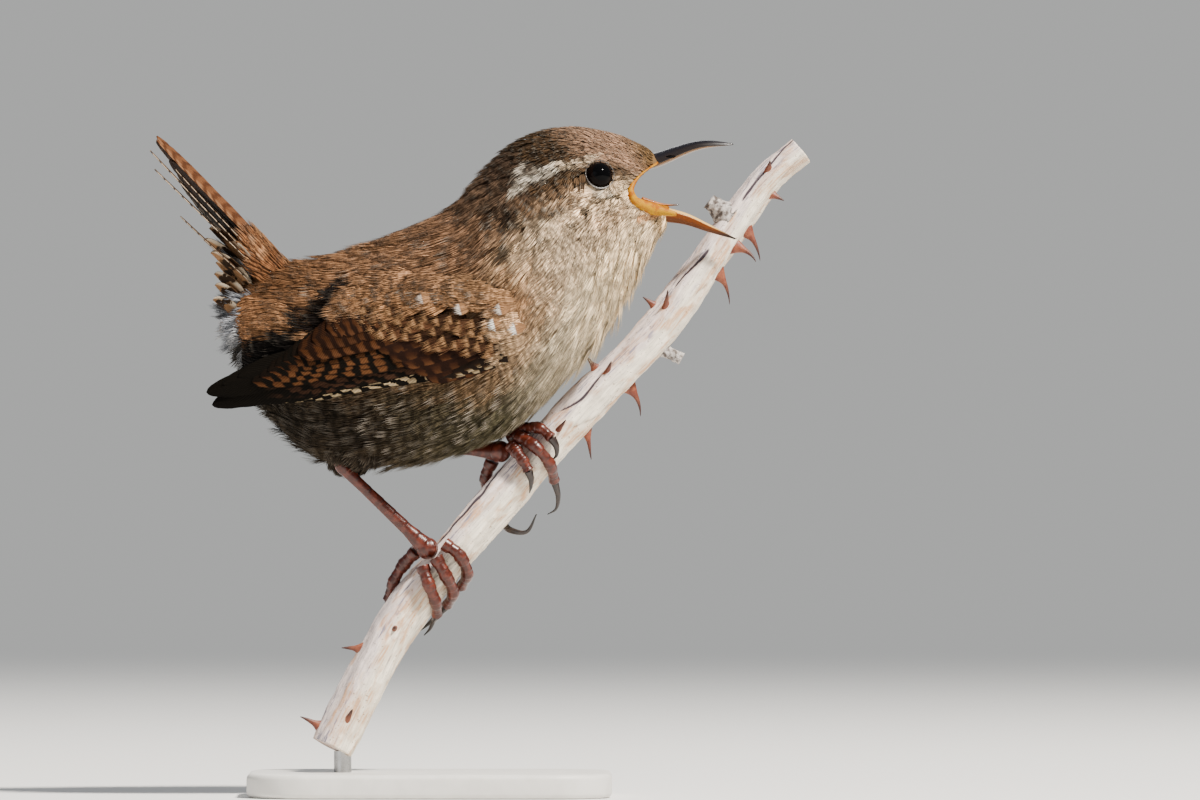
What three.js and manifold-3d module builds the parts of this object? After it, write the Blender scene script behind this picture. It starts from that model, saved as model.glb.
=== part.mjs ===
// A wren singing on a cut length of bramble stem, which a plain display stand holds up.
// Units are millimetres. +Z is up, +X is the way the bird faces, -Y is its right side,
// and the origin is the centre of the stand's underside.
import * as THREE from "three";
import { mergeVertices } from "three/addons/utils/BufferGeometryUtils.js";
import Module from "manifold-3d";

const wasm = await Module();
wasm.setup();

// Gap that touching pieces keep.
const GAP = 0.3;
const SIDES = [
  { name: "right", sign: -1 },
  { name: "left", sign: 1 },
];

// Body outline from the vent round to the forehead: the upper and lower outline in the middle plane, half the
// width, and how far the widest line sits below the middle, as a share of the half width.
const STATIONS = [
  { at: "vent", upper: [-29.2, 68.0], lower: [-29.2, 67.6], half: 0.1, low: 0 },
  { at: "undertail", upper: [-28.4, 71.6], lower: [-28.0, 63.4], half: 3.6, low: 0 },
  { at: "tail base", upper: [-26.6, 74.4], lower: [-26.1, 58.9], half: 6.4, low: 0.04 },
  { at: "rump", upper: [-22.4, 76.1], lower: [-22.4, 53.6], half: 9.6, low: 0.08 },
  { at: "hips", upper: [-16.4, 77.1], lower: [-15.8, 48.0], half: 12.3, low: 0.1 },
  { at: "loins", upper: [-9.3, 79.0], lower: [-7.6, 46.9], half: 13.9, low: 0.12 },
  { at: "back", upper: [-2.1, 81.8], lower: [1.6, 48.0], half: 14.5, low: 0.12 },
  { at: "shoulders", upper: [2.7, 84.2], lower: [11.7, 52.1], half: 14.1, low: 0.1 },
  { at: "mantle", upper: [5.3, 87.1], lower: [20.2, 60.0], half: 12.5, low: 0.08 },
  { at: "breast", upper: [7.6, 89.8], lower: [25.8, 66.8], half: 10.7, low: 0.06 },
  { at: "nape", upper: [10.5, 92.5], lower: [28.8, 72.4], half: 9.2, low: 0.05 },
  { at: "hind crown", upper: [14.6, 94.8], lower: [31.2, 77.2], half: 8.1, low: 0.05 },
  { at: "crown", upper: [20.3, 95.7], lower: [32.9, 80.0], half: 6.1, low: -0.04 },
  { at: "forehead", upper: [26.0, 94.8], lower: [33.8, 81.4], half: 4.1, low: -0.05 },
  { at: "lores", upper: [30.0, 93.2], lower: [34.2, 83.2], half: 2.9, low: 0 },
  { at: "bill base", upper: [32.2, 91.7], lower: [34.2, 85.6], half: 2.2, low: 0 },
  { at: "chin", upper: [33.5, 89.2], lower: [33.5, 88.8], half: 0.1, low: 0 },
];
const BODY_SIDES = 32;
const BODY_RINGS = 32;
// Where the body is parted into its nodes, as stations along the outline.
const CUT_RUMP = 3.5;
const CUT_NECK = 8.6;
const CUT_HEAD = 10.3;

// Open bill: the corner of the mouth, and the two faces of the gape as angles above the level.
const MOUTH_CORNER = [27.5, 85.7];
const PALATE_ANGLE = 42;
const JAW_ANGLE = -22;
const MOUTH_REACH = 14;
const MOUTH_WIDE = 24;
const LINING = 0.45;
const LIP_PROUD = 0.25;
const UPPER_BILL = { root: [30.6, 90.0], base: [32.6, 90.5], middle: [38.4, 92.7], tip: [43.4, 93.1] };
const LOWER_BILL = { root: [30.2, 83.4], base: [33.0, 83.3], middle: [38.2, 82.2], tip: [43.8, 79.7] };
const UPPER_DEPTH = 2.7;
const UPPER_WIDTH = 3.3;
const LOWER_DEPTH = 1.7;
const LOWER_WIDTH = 3.0;
const BILL_TIP = 0.32;
const BILL_TAPER = 0.72;
const BILL_FLATNESS = 0.45;
const NOSTRIL = { x: 34.4, outward: 1.35, z: 91.3, long: 0.75, high: 0.22, deep: 0.35 };
const TONGUE = { root: [30.2, 86.0], middle: [33.4, 84.75], tip: [36.6, 84.0], width: 1.5, thick: 0.55 };

// Eyes, as balls set into the head.
const EYE = { x: 24.1, z: 88.6, radius: 1.95, outward: 5.8 };
const LID = { facing: [0.26, 0.9, 0.34], out: 1.0, ring: 2.16, thick: 0.4 };

// Folded wings, drawn in side view. The plate is the wing's own flesh; the bulge is the sheet that all its
// feathers lie on. Each feather row runs from its first (lowest) feather to its last; lift is how far its tips
// stand off the sheet, and slope tips each feather so that its lower edge covers the one before.
const WING_PLATE = { x: 3.2, z: 64.8, long: 10.6, high: 5.6, inner: -1.2, outer: 1.25, lean: 13 };
const WING_BULGE = { x: 3, z: 64, half: 14.7, backward: 0.0058, upward: 0.035, tilt: 0.16, soft: 1.5 };
const VANE_THICK = 0.5;
const VANE_THIN = 0.4;
const ROOT_LIFT = 0.55;
const WING_ROWS = [
  { row: "primaries", count: 8, rootFrom: [8.6, 60.6], rootTo: [3.5, 63.6], tipFrom: [-21.0, 56.3],
    tipTo: [-31.4, 58.6], width: 4.1, lift: 0.35, slope: 0.2, steps: 4 },
  { row: "secondaries", count: 5, rootFrom: [2.0, 62.6], rootTo: [-3.2, 67.6], tipFrom: [-26.4, 58.8],
    tipTo: [-20.6, 63.0], width: 4.4, lift: 0.85, slope: 0.2, steps: 4 },
  { row: "tertials", count: 3, rootFrom: [-1.6, 66.2], rootTo: [-3.6, 69.4], tipFrom: [-19.6, 62.6],
    tipTo: [-13.8, 66.2], width: 4.9, lift: 1.3, slope: 0.16, steps: 3 },
  { row: "greater coverts", count: 8, rootFrom: [9.4, 61.2], rootTo: [-2.4, 69.6], tipFrom: [0.4, 58.6],
    tipTo: [-10.6, 67.0], width: 3.6, lift: 1.35, slope: 0.2, steps: 3 },
  { row: "median coverts", count: 6, rootFrom: [11.4, 63.0], rootTo: [1.6, 70.2], tipFrom: [5.4, 61.0],
    tipTo: [-4.0, 69.0], width: 3.3, lift: 1.75, slope: 0.18, steps: 2 },
  { row: "alula", count: 2, rootFrom: [11.2, 61.2], rootTo: [10.6, 62.0], tipFrom: [1.6, 57.9],
    tipTo: [3.4, 58.8], width: 2.4, lift: 1.1, slope: 0.2, steps: 3 },
];

// Cocked tail: u runs out along it, w is up from its underside, and y is across. Its feathers are in pairs from
// the middle outwards, each pair shorter and lower than the last.
const TAIL_ROOT = [-21.6, 76.9];
const TAIL_ANGLE = 134.7;
const TAIL_CORE = { u: 1.0, w: -3.2, long: 7.4, wide: 4.8, high: 3.3 };
const QUILLS = {
  from: -2, to: 24.6, shorter: [0, 0.5, 1.2, 2.4, 4.4, 8.2], width: 4.2, roof: 0.06,
  yRoot: 0.6, yRootStep: 0.45, yTip: 1.3, yTipStep: 1.15,
  wRoot: -1.2, wRootStep: -0.75, wTip: -0.4, wTipStep: -0.98, leftLower: 0.25,
};
const COVERT_ROWS = [
  { side: "upper", count: 5, from: -2.5, to: 8.5, width: 3.0, w: -0.1, rootSink: -0.9, droop: -1.1 },
  { side: "under", count: 6, from: -1.5, to: 9.6, width: 2.8, w: -6.0, rootSink: 0.9, droop: 0.6 },
];
const COVERTS = { yRoot: 2.6, yTip: 3.6, sideShorter: 2.2, everySecondShorter: 0.7 };

// Bramble stem: its centre line, the half thickness along it, and its thorns.
const STEM_LINE = [
  [-13.8, -3.9, 7.0], [-7.6, -2.4, 19.4], [-3.2, -1.5, 26.7], [10.7, 0.5, 43.3], [21.9, 2.0, 55.7],
  [32.7, 3.4, 66.6], [40.6, 4.7, 77.7], [48.2, 6.0, 88.2], [53.0, 6.5, 92.4],
];
const STEM_RADII = [3.0, 3.1, 3.0, 2.9, 2.95, 2.75, 2.7, 2.25, 2.1];
const STEM_SIDES = 12;
const STEM_STEPS = 25;
// Ridges along the bark, which twist slowly, and knots that swell and pinch it.
const RIDGES = { count: 5, deep: 0.06, twist: 9 };
const KNOTS = { often: 37, deep: 0.04, twist: 2 };
// Each thorn: how far up the stem it grows, its angle round the stem, its length, its lean along the stem, and
// how much it hooks back at the tip.
const THORNS = [
  { along: 1.9, angle: 6, long: 3.2, lean: 0.1, hook: 0.2 },
  { along: 4.6, angle: 92, long: 0.8, lean: 1.6, hook: 0 },
  { along: 14.5, angle: 4, long: 2.2, lean: -0.5, hook: 0.2 },
  { along: 19.0, angle: 90, long: 0.6, lean: 0.2, hook: 0 },
  { along: 55.6, angle: 84, long: 1.6, lean: 1.2, hook: 0 },
  { along: 59.2, angle: 178, long: 3.2, lean: -0.8, hook: 0.3 },
  { along: 66.0, angle: 14, long: 2.1, lean: 0.1, hook: 0 },
  { along: 66.6, angle: 66, long: 1.6, lean: 0.9, hook: 0 },
  { along: 67.8, angle: 182, long: 4.1, lean: 0.1, hook: 1.1 },
  { along: 78.8, angle: 8, long: 2.1, lean: 0.1, hook: 0.2 },
  { along: 79.3, angle: 60, long: 2.2, lean: 1.0, hook: 0 },
  { along: 88.2, angle: 178, long: 3.6, lean: -0.2, hook: 1.3 },
  { along: 92.4, angle: 158, long: 3.8, lean: 0.4, hook: 0.9 },
  { along: 95.6, angle: 176, long: 3.9, lean: -0.2, hook: 1.0 },
  { along: 101.8, angle: 166, long: 1.8, lean: 0.4, hook: 0.2 },
  { along: 104.2, angle: 62, long: 1.2, lean: 0.7, hook: 0 },
];
const THORN_ROOT = 0.95;
const THORN_TIP = 0.07;
// How far below the bark a thorn or shoot starts.
const ROOTED = 1.2;
// Short broken shoots: a stub that leans down the stem, and a dead bud.
const SHOOTS = [
  { along: 96.2, angle: 12, long: 2.7, lean: -0.5, root: 1.2, tip: 0.85 },
  { along: 74.6, angle: 178, long: 2.5, lean: 0.35, root: 1.2, tip: 0.9 },
];

// Legs and feet. A foot's paths are [along the stem, angle round it, distance from its middle]; angle 0 is the
// stem's upper side and 90 faces the bird's right.
const LEGS = {
  right: { heel: [-12.6, -5.6, 47.2], pad: [30.8, 44, 4.5] },
  left: { heel: [-8.6, 7.6, 50.6], pad: [48.2, 8, 4.5] },
};
// Half thicknesses down the leg, and how far its middle bows forwards and up.
const SHANK = { heel: 1.15, middle: 0.86, ankle: 1.0, pad: 1.55, bow: 0.25 };
// Where along the leg its middle, its ankle and the last bend of its curve are.
const SHANK_AT = { middle: 0.35, ankle: 0.8, bend: 0.88 };
const TOE_ROOT = 0.98;
const TOE_TIP = 0.72;
const TOE_PADS = { count: 3, swell: 0.09 };
const CLAW_ROOT = 0.5;
const CLAW_TIP = 0.09;
const TOES = {
  right: [
    { toe: 1, path: [[29.6, 20, 4.4], [27.2, -2, 4.3], [24.6, -16, 4.1], [22.2, -40, 3.9]],
      claw: [[20.9, -64, 4.0], [19.8, -92, 4.1], [19.4, -122, 3.9]] },
    { toe: 2, path: [[32.8, 66, 4.5], [33.0, 100, 4.2], [31.9, 146, 4.1], [30.0, 190, 4.1]],
      claw: [[28.9, 214, 4.0], [27.6, 240, 4.0], [26.8, 262, 3.7]] },
    { toe: 3, path: [[30.5, 72, 4.7], [29.6, 102, 4.5], [28.4, 148, 4.3], [26.6, 190, 4.2]],
      claw: [[24.8, 204, 4.3], [22.8, 212, 4.3], [20.9, 216, 3.8]] },
    { toe: 4, path: [[28.4, 62, 4.4], [27.0, 92, 4.1], [25.6, 130, 4.0], [24.4, 166, 4.0]],
      claw: [[23.4, 186, 4.0], [22.2, 190, 4.3], [20.8, 188, 4.1]] },
  ],
  left: [
    { toe: 1, path: [[46.6, -14, 4.5], [44.4, -34, 4.2], [42.6, -78, 4.0], [41.2, -124, 4.0]],
      claw: [[40.9, -158, 4.3], [42.2, -176, 6.0], [45.0, -184, 5.4]] },
    { toe: 2, path: [[49.8, 32, 4.5], [49.4, 62, 4.2], [49.0, 82, 4.0], [48.6, 96, 3.9]],
      claw: [[48.0, 112, 3.9], [47.2, 124, 3.9], [46.4, 136, 3.7]] },
    { toe: 3, path: [[51.4, 30, 4.6], [51.8, 74, 4.3], [51.4, 118, 4.2], [50.2, 166, 4.3]],
      claw: [[48.9, 178, 6.1], [47.4, 180, 7.0], [46.0, 181, 6.6]] },
    { toe: 4, path: [[50.6, -2, 4.5], [53.0, 22, 4.2], [54.3, 56, 4.0], [54.3, 86, 4.0]],
      claw: [[53.9, 104, 4.1], [53.0, 118, 4.1], [52.1, 122, 3.7]] },
  ],
};
const THIGHS = { half: [4.6, 3.4, 5.4], lean: 38, forward: 2.2, inward: 1.4, up: 3.4 };

// Display stand.
const BASE = { long: 52, wide: 34, high: 3.5, corner: 9, edge: 0.8 };
const ROD = { along: 3.2, radius: 1.25 };

const MATERIALS = {
  brown: { color: 0x6b4a30, roughness: 0.85, metalness: 0 },
  buff: { color: 0xb09a80, roughness: 0.85, metalness: 0 },
  wing: { color: 0x5c3a22, roughness: 0.8, metalness: 0 },
  rufous: { color: 0x86502a, roughness: 0.8, metalness: 0 },
  horn: { color: 0x2f2728, roughness: 0.4, metalness: 0 },
  jaw: { color: 0xc08a3c, roughness: 0.45, metalness: 0 },
  gape: { color: 0xf0a01e, roughness: 0.4, metalness: 0 },
  eye: { color: 0x0a0808, roughness: 0.06, metalness: 0 },
  shank: { color: 0x7a4a3c, roughness: 0.5, metalness: 0 },
  claw: { color: 0x3a2a24, roughness: 0.35, metalness: 0 },
  bark: { color: 0xc9b6a4, roughness: 0.8, metalness: 0 },
  stand: { color: 0x2b2b2d, roughness: 0.45, metalness: 0 },
  rod: { color: 0x8c8c90, roughness: 0.3, metalness: 1 },
};

// Small helpers for vectors and blends.
const radians = THREE.MathUtils.degToRad;
const lerp = THREE.MathUtils.lerp;
const vector = (x, y, z) => new THREE.Vector3(x, y, z);
const mixPoint = (a, b, t) => [lerp(a[0], b[0], t), lerp(a[1], b[1], t)];

// A closed geometry as a manifold-3d solid, turned to face outwards.
function solidOf(geometry) {
  const bare = geometry.clone();
  bare.deleteAttribute("normal");
  bare.deleteAttribute("uv");
  const merged = mergeVertices(bare, 1e-4);
  const vertProperties = new Float32Array(merged.attributes.position.array);
  const triVerts = new Uint32Array(merged.index.array);
  const made = new wasm.Manifold(new wasm.Mesh({ numProp: 3, vertProperties, triVerts }));
  if (made.volume() > 0) return made;
  for (let i = 0; i < triVerts.length; i += 3) {
    [triVerts[i + 1], triVerts[i + 2]] = [triVerts[i + 2], triVerts[i + 1]];
  }
  return new wasm.Manifold(new wasm.Mesh({ numProp: 3, vertProperties, triVerts }));
}

const joined = (solids) => solids.reduce((whole, next) => whole.add(next));

// The largest closed body of a solid.
function largest(solid) {
  return solid.decompose().reduce((best, next) => (next.volume() > best.volume() ? next : best));
}

// A ball's rings and meridians moved by place(t, angle), with t from 0 at one pole to 1 at the other.
function ballForm(sides, rings, place) {
  const sphere = new THREE.SphereGeometry(1, sides, rings);
  sphere.deleteAttribute("normal");
  sphere.deleteAttribute("uv");
  const ball = mergeVertices(sphere, 1e-5);
  const at = ball.attributes.position;
  for (let i = 0; i < at.count; i++) {
    const t = Math.acos(THREE.MathUtils.clamp(-at.getY(i), -1, 1)) / Math.PI;
    const moved = place(t, Math.atan2(at.getX(i), at.getZ(i)));
    at.setXYZ(i, moved.x, moved.y, moved.z);
  }
  return solidOf(ball);
}

// A unit cylinder along Y, with one vertex at each corner, for the forms that bend it.
function bareCylinder(sides, steps) {
  const cylinder = new THREE.CylinderGeometry(1, 1, 1, sides, steps);
  cylinder.deleteAttribute("normal");
  cylinder.deleteAttribute("uv");
  return mergeVertices(cylinder, 1e-5);
}

// How far a ring at t is pushed out past the end of its curve when a form is grown.
const endPush = (t, grow) => (t > 0.999 ? grow : 0) - (t < 0.001 ? grow : 0);

// A closed tube along a curve, radius(t, angle) thick; grow swells it all round and at both ends.
function tubeForm(curve, radius, sides, steps, grow = 0) {
  const frames = curve.computeFrenetFrames(steps, false);
  const tube = bareCylinder(sides, steps);
  const at = tube.attributes.position;
  for (let i = 0; i < at.count; i++) {
    const t = at.getY(i) + 0.5;
    const step = Math.round(t * steps);
    const size = radius(t, Math.atan2(at.getX(i), at.getZ(i))) + grow;
    const moved = curve
      .getPointAt(t)
      .addScaledVector(frames.tangents[step], endPush(t, grow))
      .addScaledVector(frames.normals[step], at.getX(i) * size)
      .addScaledVector(frames.binormals[step], at.getZ(i) * size);
    at.setXYZ(i, moved.x, moved.y, moved.z);
  }
  return solidOf(tube);
}

// A thin closed sheet from a grid, with place(u, v, face): face is 1 outside and 0 inside.
// Both faces are split into triangles alike.
function sheetForm(across, along, place) {
  const points = [];
  const index = [];
  const id = (i, j, face) => (face * (along + 1) + j) * (across + 1) + i;
  for (const face of [0, 1]) {
    for (let j = 0; j <= along; j++) {
      for (let i = 0; i <= across; i++) points.push(...place(i / across, j / along, face).toArray());
    }
  }
  const wall = (a, b) => {
    index.push(id(...a, 0), id(...b, 0), id(...b, 1));
    index.push(id(...a, 0), id(...b, 1), id(...a, 1));
  };
  for (let j = 0; j < along; j++) {
    for (let i = 0; i < across; i++) {
      const cell = [[i, j], [i + 1, j], [i + 1, j + 1], [i, j + 1]];
      const [a, b, c, d] = cell.map((corner) => id(...corner, 1));
      index.push(a, b, c, a, c, d);
      const [e, f, g, h] = cell.map((corner) => id(...corner, 0));
      index.push(e, g, f, e, h, g);
    }
  }
  for (let i = 0; i < across; i++) {
    wall([i, 0], [i + 1, 0]);
    wall([i + 1, along], [i, along]);
  }
  for (let j = 0; j < along; j++) {
    wall([0, j + 1], [0, j]);
    wall([across, j], [across, j + 1]);
  }
  const sheet = new THREE.BufferGeometry();
  sheet.setAttribute("position", new THREE.Float32BufferAttribute(points, 3));
  sheet.setIndex(index);
  return solidOf(sheet);
}

// Half a feather's width along it, as a share of its full half width: it widens to full, then rounds off.
const VANE = { root: 0.4, full: 0.45, round: 0.72, tip: 0.16 };
function vaneShape(t) {
  const rise = lerp(VANE.root, 1, THREE.MathUtils.smoothstep(t, -0.1, VANE.full));
  const past = Math.max(0, (t - VANE.round) / (1.02 - VANE.round));
  return Math.max(VANE.tip, rise * Math.sqrt(1 - past * past));
}

// Body
const bodyCurve = (pick) => {
  const points = STATIONS.map(pick);
  return new THREE.CatmullRomCurve3(points, false, "catmullrom", 0.5);
};
const upperLine = bodyCurve((s) => vector(s.upper[0], 0, s.upper[1]));
const lowerLine = bodyCurve((s) => vector(s.lower[0], 0, s.lower[1]));
const widthLine = bodyCurve((s) => vector(s.half, s.low, 0));
const station = (number) => number / (STATIONS.length - 1);

// A point of the body's surface: angle 0 is the upper outline, and grow moves it outwards.
function bodyPoint(t, angle, grow = 0) {
  const upper = upperLine.getPoint(t);
  const lower = lowerLine.getPoint(t);
  const width = widthLine.getPoint(t);
  const middle = upper.clone().add(lower).multiplyScalar(0.5);
  const reach = upper.sub(lower);
  const half = reach.length() / 2;
  const point = middle.addScaledVector(reach.normalize(), (half + grow) * Math.cos(angle));
  point.x += grow * (Math.max(0, 1 - (1 - t) / station(1)) - Math.max(0, 1 - t / station(1)));
  point.y = (Math.max(width.x, 0.02) + grow) * Math.sin(angle) * (1 - width.y * Math.cos(angle));
  return point;
}

const bodyForm = (grow) => ballForm(BODY_SIDES, BODY_RINGS, (t, angle) => bodyPoint(t, angle, grow));

// The plane of the section at one station, as a normal that points forwards and an offset.
function sectionPlane(number) {
  const upper = upperLine.getPoint(station(number));
  const lower = lowerLine.getPoint(station(number));
  const normal = vector(upper.z - lower.z, 0, lower.x - upper.x).normalize();
  return { normal: normal.toArray(), offset: normal.dot(upper) };
}

// The stretch of a solid between two sections; null leaves that end whole.
function between(solid, rear, front) {
  let kept = solid;
  if (rear !== null) {
    const { normal, offset } = sectionPlane(rear);
    kept = kept.trimByPlane(normal, offset + GAP / 2);
  }
  if (front !== null) {
    const { normal, offset } = sectionPlane(front);
    kept = kept.trimByPlane(normal.map((n) => -n), GAP / 2 - offset);
  }
  return kept;
}

// Half the body's width at a place in side view, or 0 outside its outline.
function flankAt(x, z) {
  let low = station(1);
  let high = station(STATIONS.length - 2);
  const ahead = (t) => {
    const upper = upperLine.getPoint(t);
    const lower = lowerLine.getPoint(t);
    return (x - upper.x) * (upper.z - lower.z) - (z - upper.z) * (upper.x - lower.x) > 0;
  };
  for (let halving = 0; halving < 24; halving++) {
    const middle = (low + high) / 2;
    if (ahead(middle)) low = middle;
    else high = middle;
  }
  const upper = upperLine.getPoint(low);
  const lower = lowerLine.getPoint(low);
  const width = widthLine.getPoint(low);
  const half = upper.distanceTo(lower) / 2;
  const middle = upper.clone().add(lower).multiplyScalar(0.5);
  const share = vector(x, 0, z).sub(middle).dot(upper.sub(lower).normalize()) / half;
  if (Math.abs(share) >= 1) return 0;
  return width.x * Math.sqrt(1 - share * share) * (1 - width.y * share);
}

// Mouth
function wedge(inset) {
  const half = radians((PALATE_ANGLE - JAW_ANGLE) / 2);
  const middle = radians((PALATE_ANGLE + JAW_ANGLE) / 2);
  const back = inset / Math.sin(half);
  const corner = [MOUTH_CORNER[0] + back * Math.cos(middle), MOUTH_CORNER[1] + back * Math.sin(middle)];
  const shape = new THREE.Shape();
  shape.moveTo(...corner);
  for (const angle of [JAW_ANGLE, PALATE_ANGLE].map(radians)) {
    shape.lineTo(corner[0] + MOUTH_REACH * Math.cos(angle), corner[1] + MOUTH_REACH * Math.sin(angle));
  }
  const prism = new THREE.ExtrudeGeometry(shape, { depth: MOUTH_WIDE, bevelEnabled: false });
  prism.rotateX(Math.PI / 2);
  prism.translate(0, MOUTH_WIDE / 2, 0);
  return solidOf(prism);
}

// One half of the bill. depthSign is 1 where the rounded side is on top.
function billForm(half, depth, width, depthSign, grow = 0) {
  const points = [half.root, half.base, half.middle, half.tip].map(([x, z]) => vector(x, 0, z));
  const curve = new THREE.CatmullRomCurve3(points);
  return flatTube(curve, (t) => {
    const share = Math.pow(Math.max(0, 1 - t), BILL_TAPER);
    return { wide: Math.max(BILL_TIP, width * share) / 2, deep: Math.max(BILL_TIP, depth * share) / 2 };
  }, { sides: 10, steps: 9, flat: BILL_FLATNESS, roundSide: depthSign, grow });
}

// A tube in the middle plane with a rounded side and a flatter one; size(t) gives its half width and depth.
function flatTube(curve, size, { sides, steps, flat, roundSide, grow = 0 }) {
  const tube = bareCylinder(sides, steps);
  const at = tube.attributes.position;
  for (let i = 0; i < at.count; i++) {
    const t = at.getY(i) + 0.5;
    const along = curve.getTangentAt(t);
    const up = vector(-along.z, 0, along.x);
    const { wide, deep } = size(t);
    const share = at.getZ(i) * roundSide > 0 ? 1 + flat / 2 : 1 - flat;
    const moved = curve
      .getPointAt(t)
      .addScaledVector(along, endPush(t, grow))
      .addScaledVector(up, at.getZ(i) * (deep * share + grow));
    moved.y = at.getX(i) * (wide + grow);
    at.setXYZ(i, moved.x, moved.y, moved.z);
  }
  return solidOf(tube);
}

function nostrils() {
  return joined(SIDES.map(({ sign }) => {
    const slot = new THREE.SphereGeometry(1, 8, 6);
    slot.scale(NOSTRIL.long, NOSTRIL.deep, NOSTRIL.high);
    slot.translate(NOSTRIL.x, sign * NOSTRIL.outward, NOSTRIL.z);
    return solidOf(slot);
  }));
}

function tongueForm() {
  const points = [TONGUE.root, TONGUE.middle, TONGUE.tip].map(([x, z]) => vector(x, 0, z));
  const curve = new THREE.CatmullRomCurve3(points);
  return flatTube(curve, (t) => ({
    wide: (TONGUE.width / 2) * Math.sqrt(1.02 - t),
    deep: (TONGUE.thick / 2) * (1 - 0.6 * t),
  }), { sides: 8, steps: 5, flat: 0, roundSide: 1 });
}

// Eyes
function eyeForm(sign, grow = 0) {
  const ball = new THREE.SphereGeometry(EYE.radius + grow, 14, 9);
  ball.translate(EYE.x, sign * EYE.outward, EYE.z);
  return solidOf(ball);
}

function lidForm(sign) {
  const facing = vector(LID.facing[0], sign * LID.facing[1], LID.facing[2]).normalize();
  const ring = new THREE.TorusGeometry(LID.ring, LID.thick, 5, 16);
  ring.applyQuaternion(new THREE.Quaternion().setFromUnitVectors(vector(0, 0, 1), facing));
  ring.translate(...vector(EYE.x, sign * EYE.outward, EYE.z).addScaledVector(facing, LID.out).toArray());
  return solidOf(ring);
}

// Wings. A point of the sheet that a wing's feathers lie on, lifted off it; it blends into the flank.
function wingSheet(sign, x, z, lift) {
  const back = x - WING_BULGE.x;
  const up = z - WING_BULGE.z - WING_BULGE.tilt * back;
  const bulge = WING_BULGE.half - WING_BULGE.backward * back * back - WING_BULGE.upward * up * up;
  const flank = flankAt(x, z);
  const out = (flank + bulge + Math.hypot(flank - bulge, WING_BULGE.soft)) / 2;
  return vector(x, sign * (out + lift), z);
}

function wingPlate(sign) {
  const lean = radians(WING_PLATE.lean);
  return ballForm(10, 7, (t, angle) => {
    const share = -Math.cos(Math.PI * t);
    const round = Math.sin(Math.PI * t);
    const u = WING_PLATE.long * share;
    const v = WING_PLATE.high * round * Math.cos(angle);
    const x = WING_PLATE.x + u * Math.cos(lean) - v * Math.sin(lean);
    const z = WING_PLATE.z + u * Math.sin(lean) + v * Math.cos(lean);
    const depth = Math.sin(angle) * sign * round;
    return wingSheet(sign, x, z, depth > 0 ? depth * WING_PLATE.outer : -depth * WING_PLATE.inner);
  });
}

// One feather on the wing, from root to tip in side view. Its lower edge lies over the feather before it.
function wingVane(sign, root, tip, row) {
  const along = vector(tip[0] - root[0], 0, tip[1] - root[1]);
  const across = vector(-along.z, 0, along.x).normalize().multiplyScalar(along.x < 0 ? -1 : 1);
  return sheetForm(1, row.steps, (u, v, face) => {
    const half = (row.width / 2) * vaneShape(v);
    const offset = (u * 2 - 1) * half;
    const thin = face * lerp(VANE_THICK, VANE_THIN, v);
    const x = root[0] + along.x * v + across.x * offset;
    const z = root[1] + along.z * v + across.z * offset;
    return wingSheet(sign, x, z, row.lift * lerp(ROOT_LIFT, 1, v) - row.slope * offset + thin);
  });
}

function wingForm(sign) {
  const vanes = WING_ROWS.flatMap((row) => Array.from({ length: row.count }, (_, i) => {
    const share = row.count > 1 ? i / (row.count - 1) : 0;
    const root = mixPoint(row.rootFrom, row.rootTo, share);
    const tip = mixPoint(row.tipFrom, row.tipTo, share);
    return wingVane(sign, root, tip, row);
  }));
  return joined([wingPlate(sign), ...vanes]);
}

// Tail. A point in its own u, y and w.
function tailPoint(u, y, w) {
  const angle = radians(TAIL_ANGLE);
  const x = TAIL_ROOT[0] + u * Math.cos(angle) + w * Math.sin(angle);
  const z = TAIL_ROOT[1] + u * Math.sin(angle) - w * Math.cos(angle);
  return vector(x, y, z);
}

function tailVane({ from, to, yRoot, yTip, wRoot, wTip, width, steps, roof }) {
  return sheetForm(1, steps, (s, v, face) => {
    const offset = (s * 2 - 1) * (width / 2) * vaneShape(v);
    const y = lerp(yRoot, yTip, v) + offset;
    const w = lerp(wRoot, wTip, v) - roof * offset + face * VANE_THICK;
    return tailPoint(lerp(from, to, v), y, w);
  });
}

function tailForm() {
  const core = ballForm(10, 6, (t, angle) => {
    const share = -Math.cos(Math.PI * t);
    const round = Math.sin(Math.PI * t);
    return tailPoint(
      TAIL_CORE.u + TAIL_CORE.long * share,
      TAIL_CORE.wide * round * Math.sin(angle),
      TAIL_CORE.w + TAIL_CORE.high * round * Math.cos(angle),
    );
  });
  const quills = SIDES.flatMap(({ sign }) => QUILLS.shorter.map((shorter, k) => tailVane({
    from: QUILLS.from,
    to: QUILLS.to - shorter,
    yRoot: sign * (QUILLS.yRoot + QUILLS.yRootStep * k),
    yTip: sign * (QUILLS.yTip + QUILLS.yTipStep * k),
    wRoot: QUILLS.wRoot + QUILLS.wRootStep * k,
    wTip: QUILLS.wTip + QUILLS.wTipStep * k - (sign > 0 ? QUILLS.leftLower : 0),
    width: QUILLS.width,
    steps: 4,
    roof: sign * QUILLS.roof,
  })));
  const coverts = COVERT_ROWS.flatMap((row) => Array.from({ length: row.count }, (_, i) => {
    const side = (i / (row.count - 1)) * 2 - 1;
    const w = row.w + row.droop * side * side;
    return tailVane({
      from: row.from,
      to: row.to - COVERTS.sideShorter * side * side - (i % 2) * COVERTS.everySecondShorter,
      yRoot: side * COVERTS.yRoot,
      yTip: side * COVERTS.yTip,
      wRoot: w + row.rootSink,
      wTip: w,
      width: row.width,
      steps: 2,
      roof: 0,
    });
  }));
  return joined([core, ...quills, ...coverts]);
}

// Stem and thorns
const stemLine = new THREE.CatmullRomCurve3(STEM_LINE.map((p) => vector(...p)));
const stemLong = stemLine.getLength();

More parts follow.
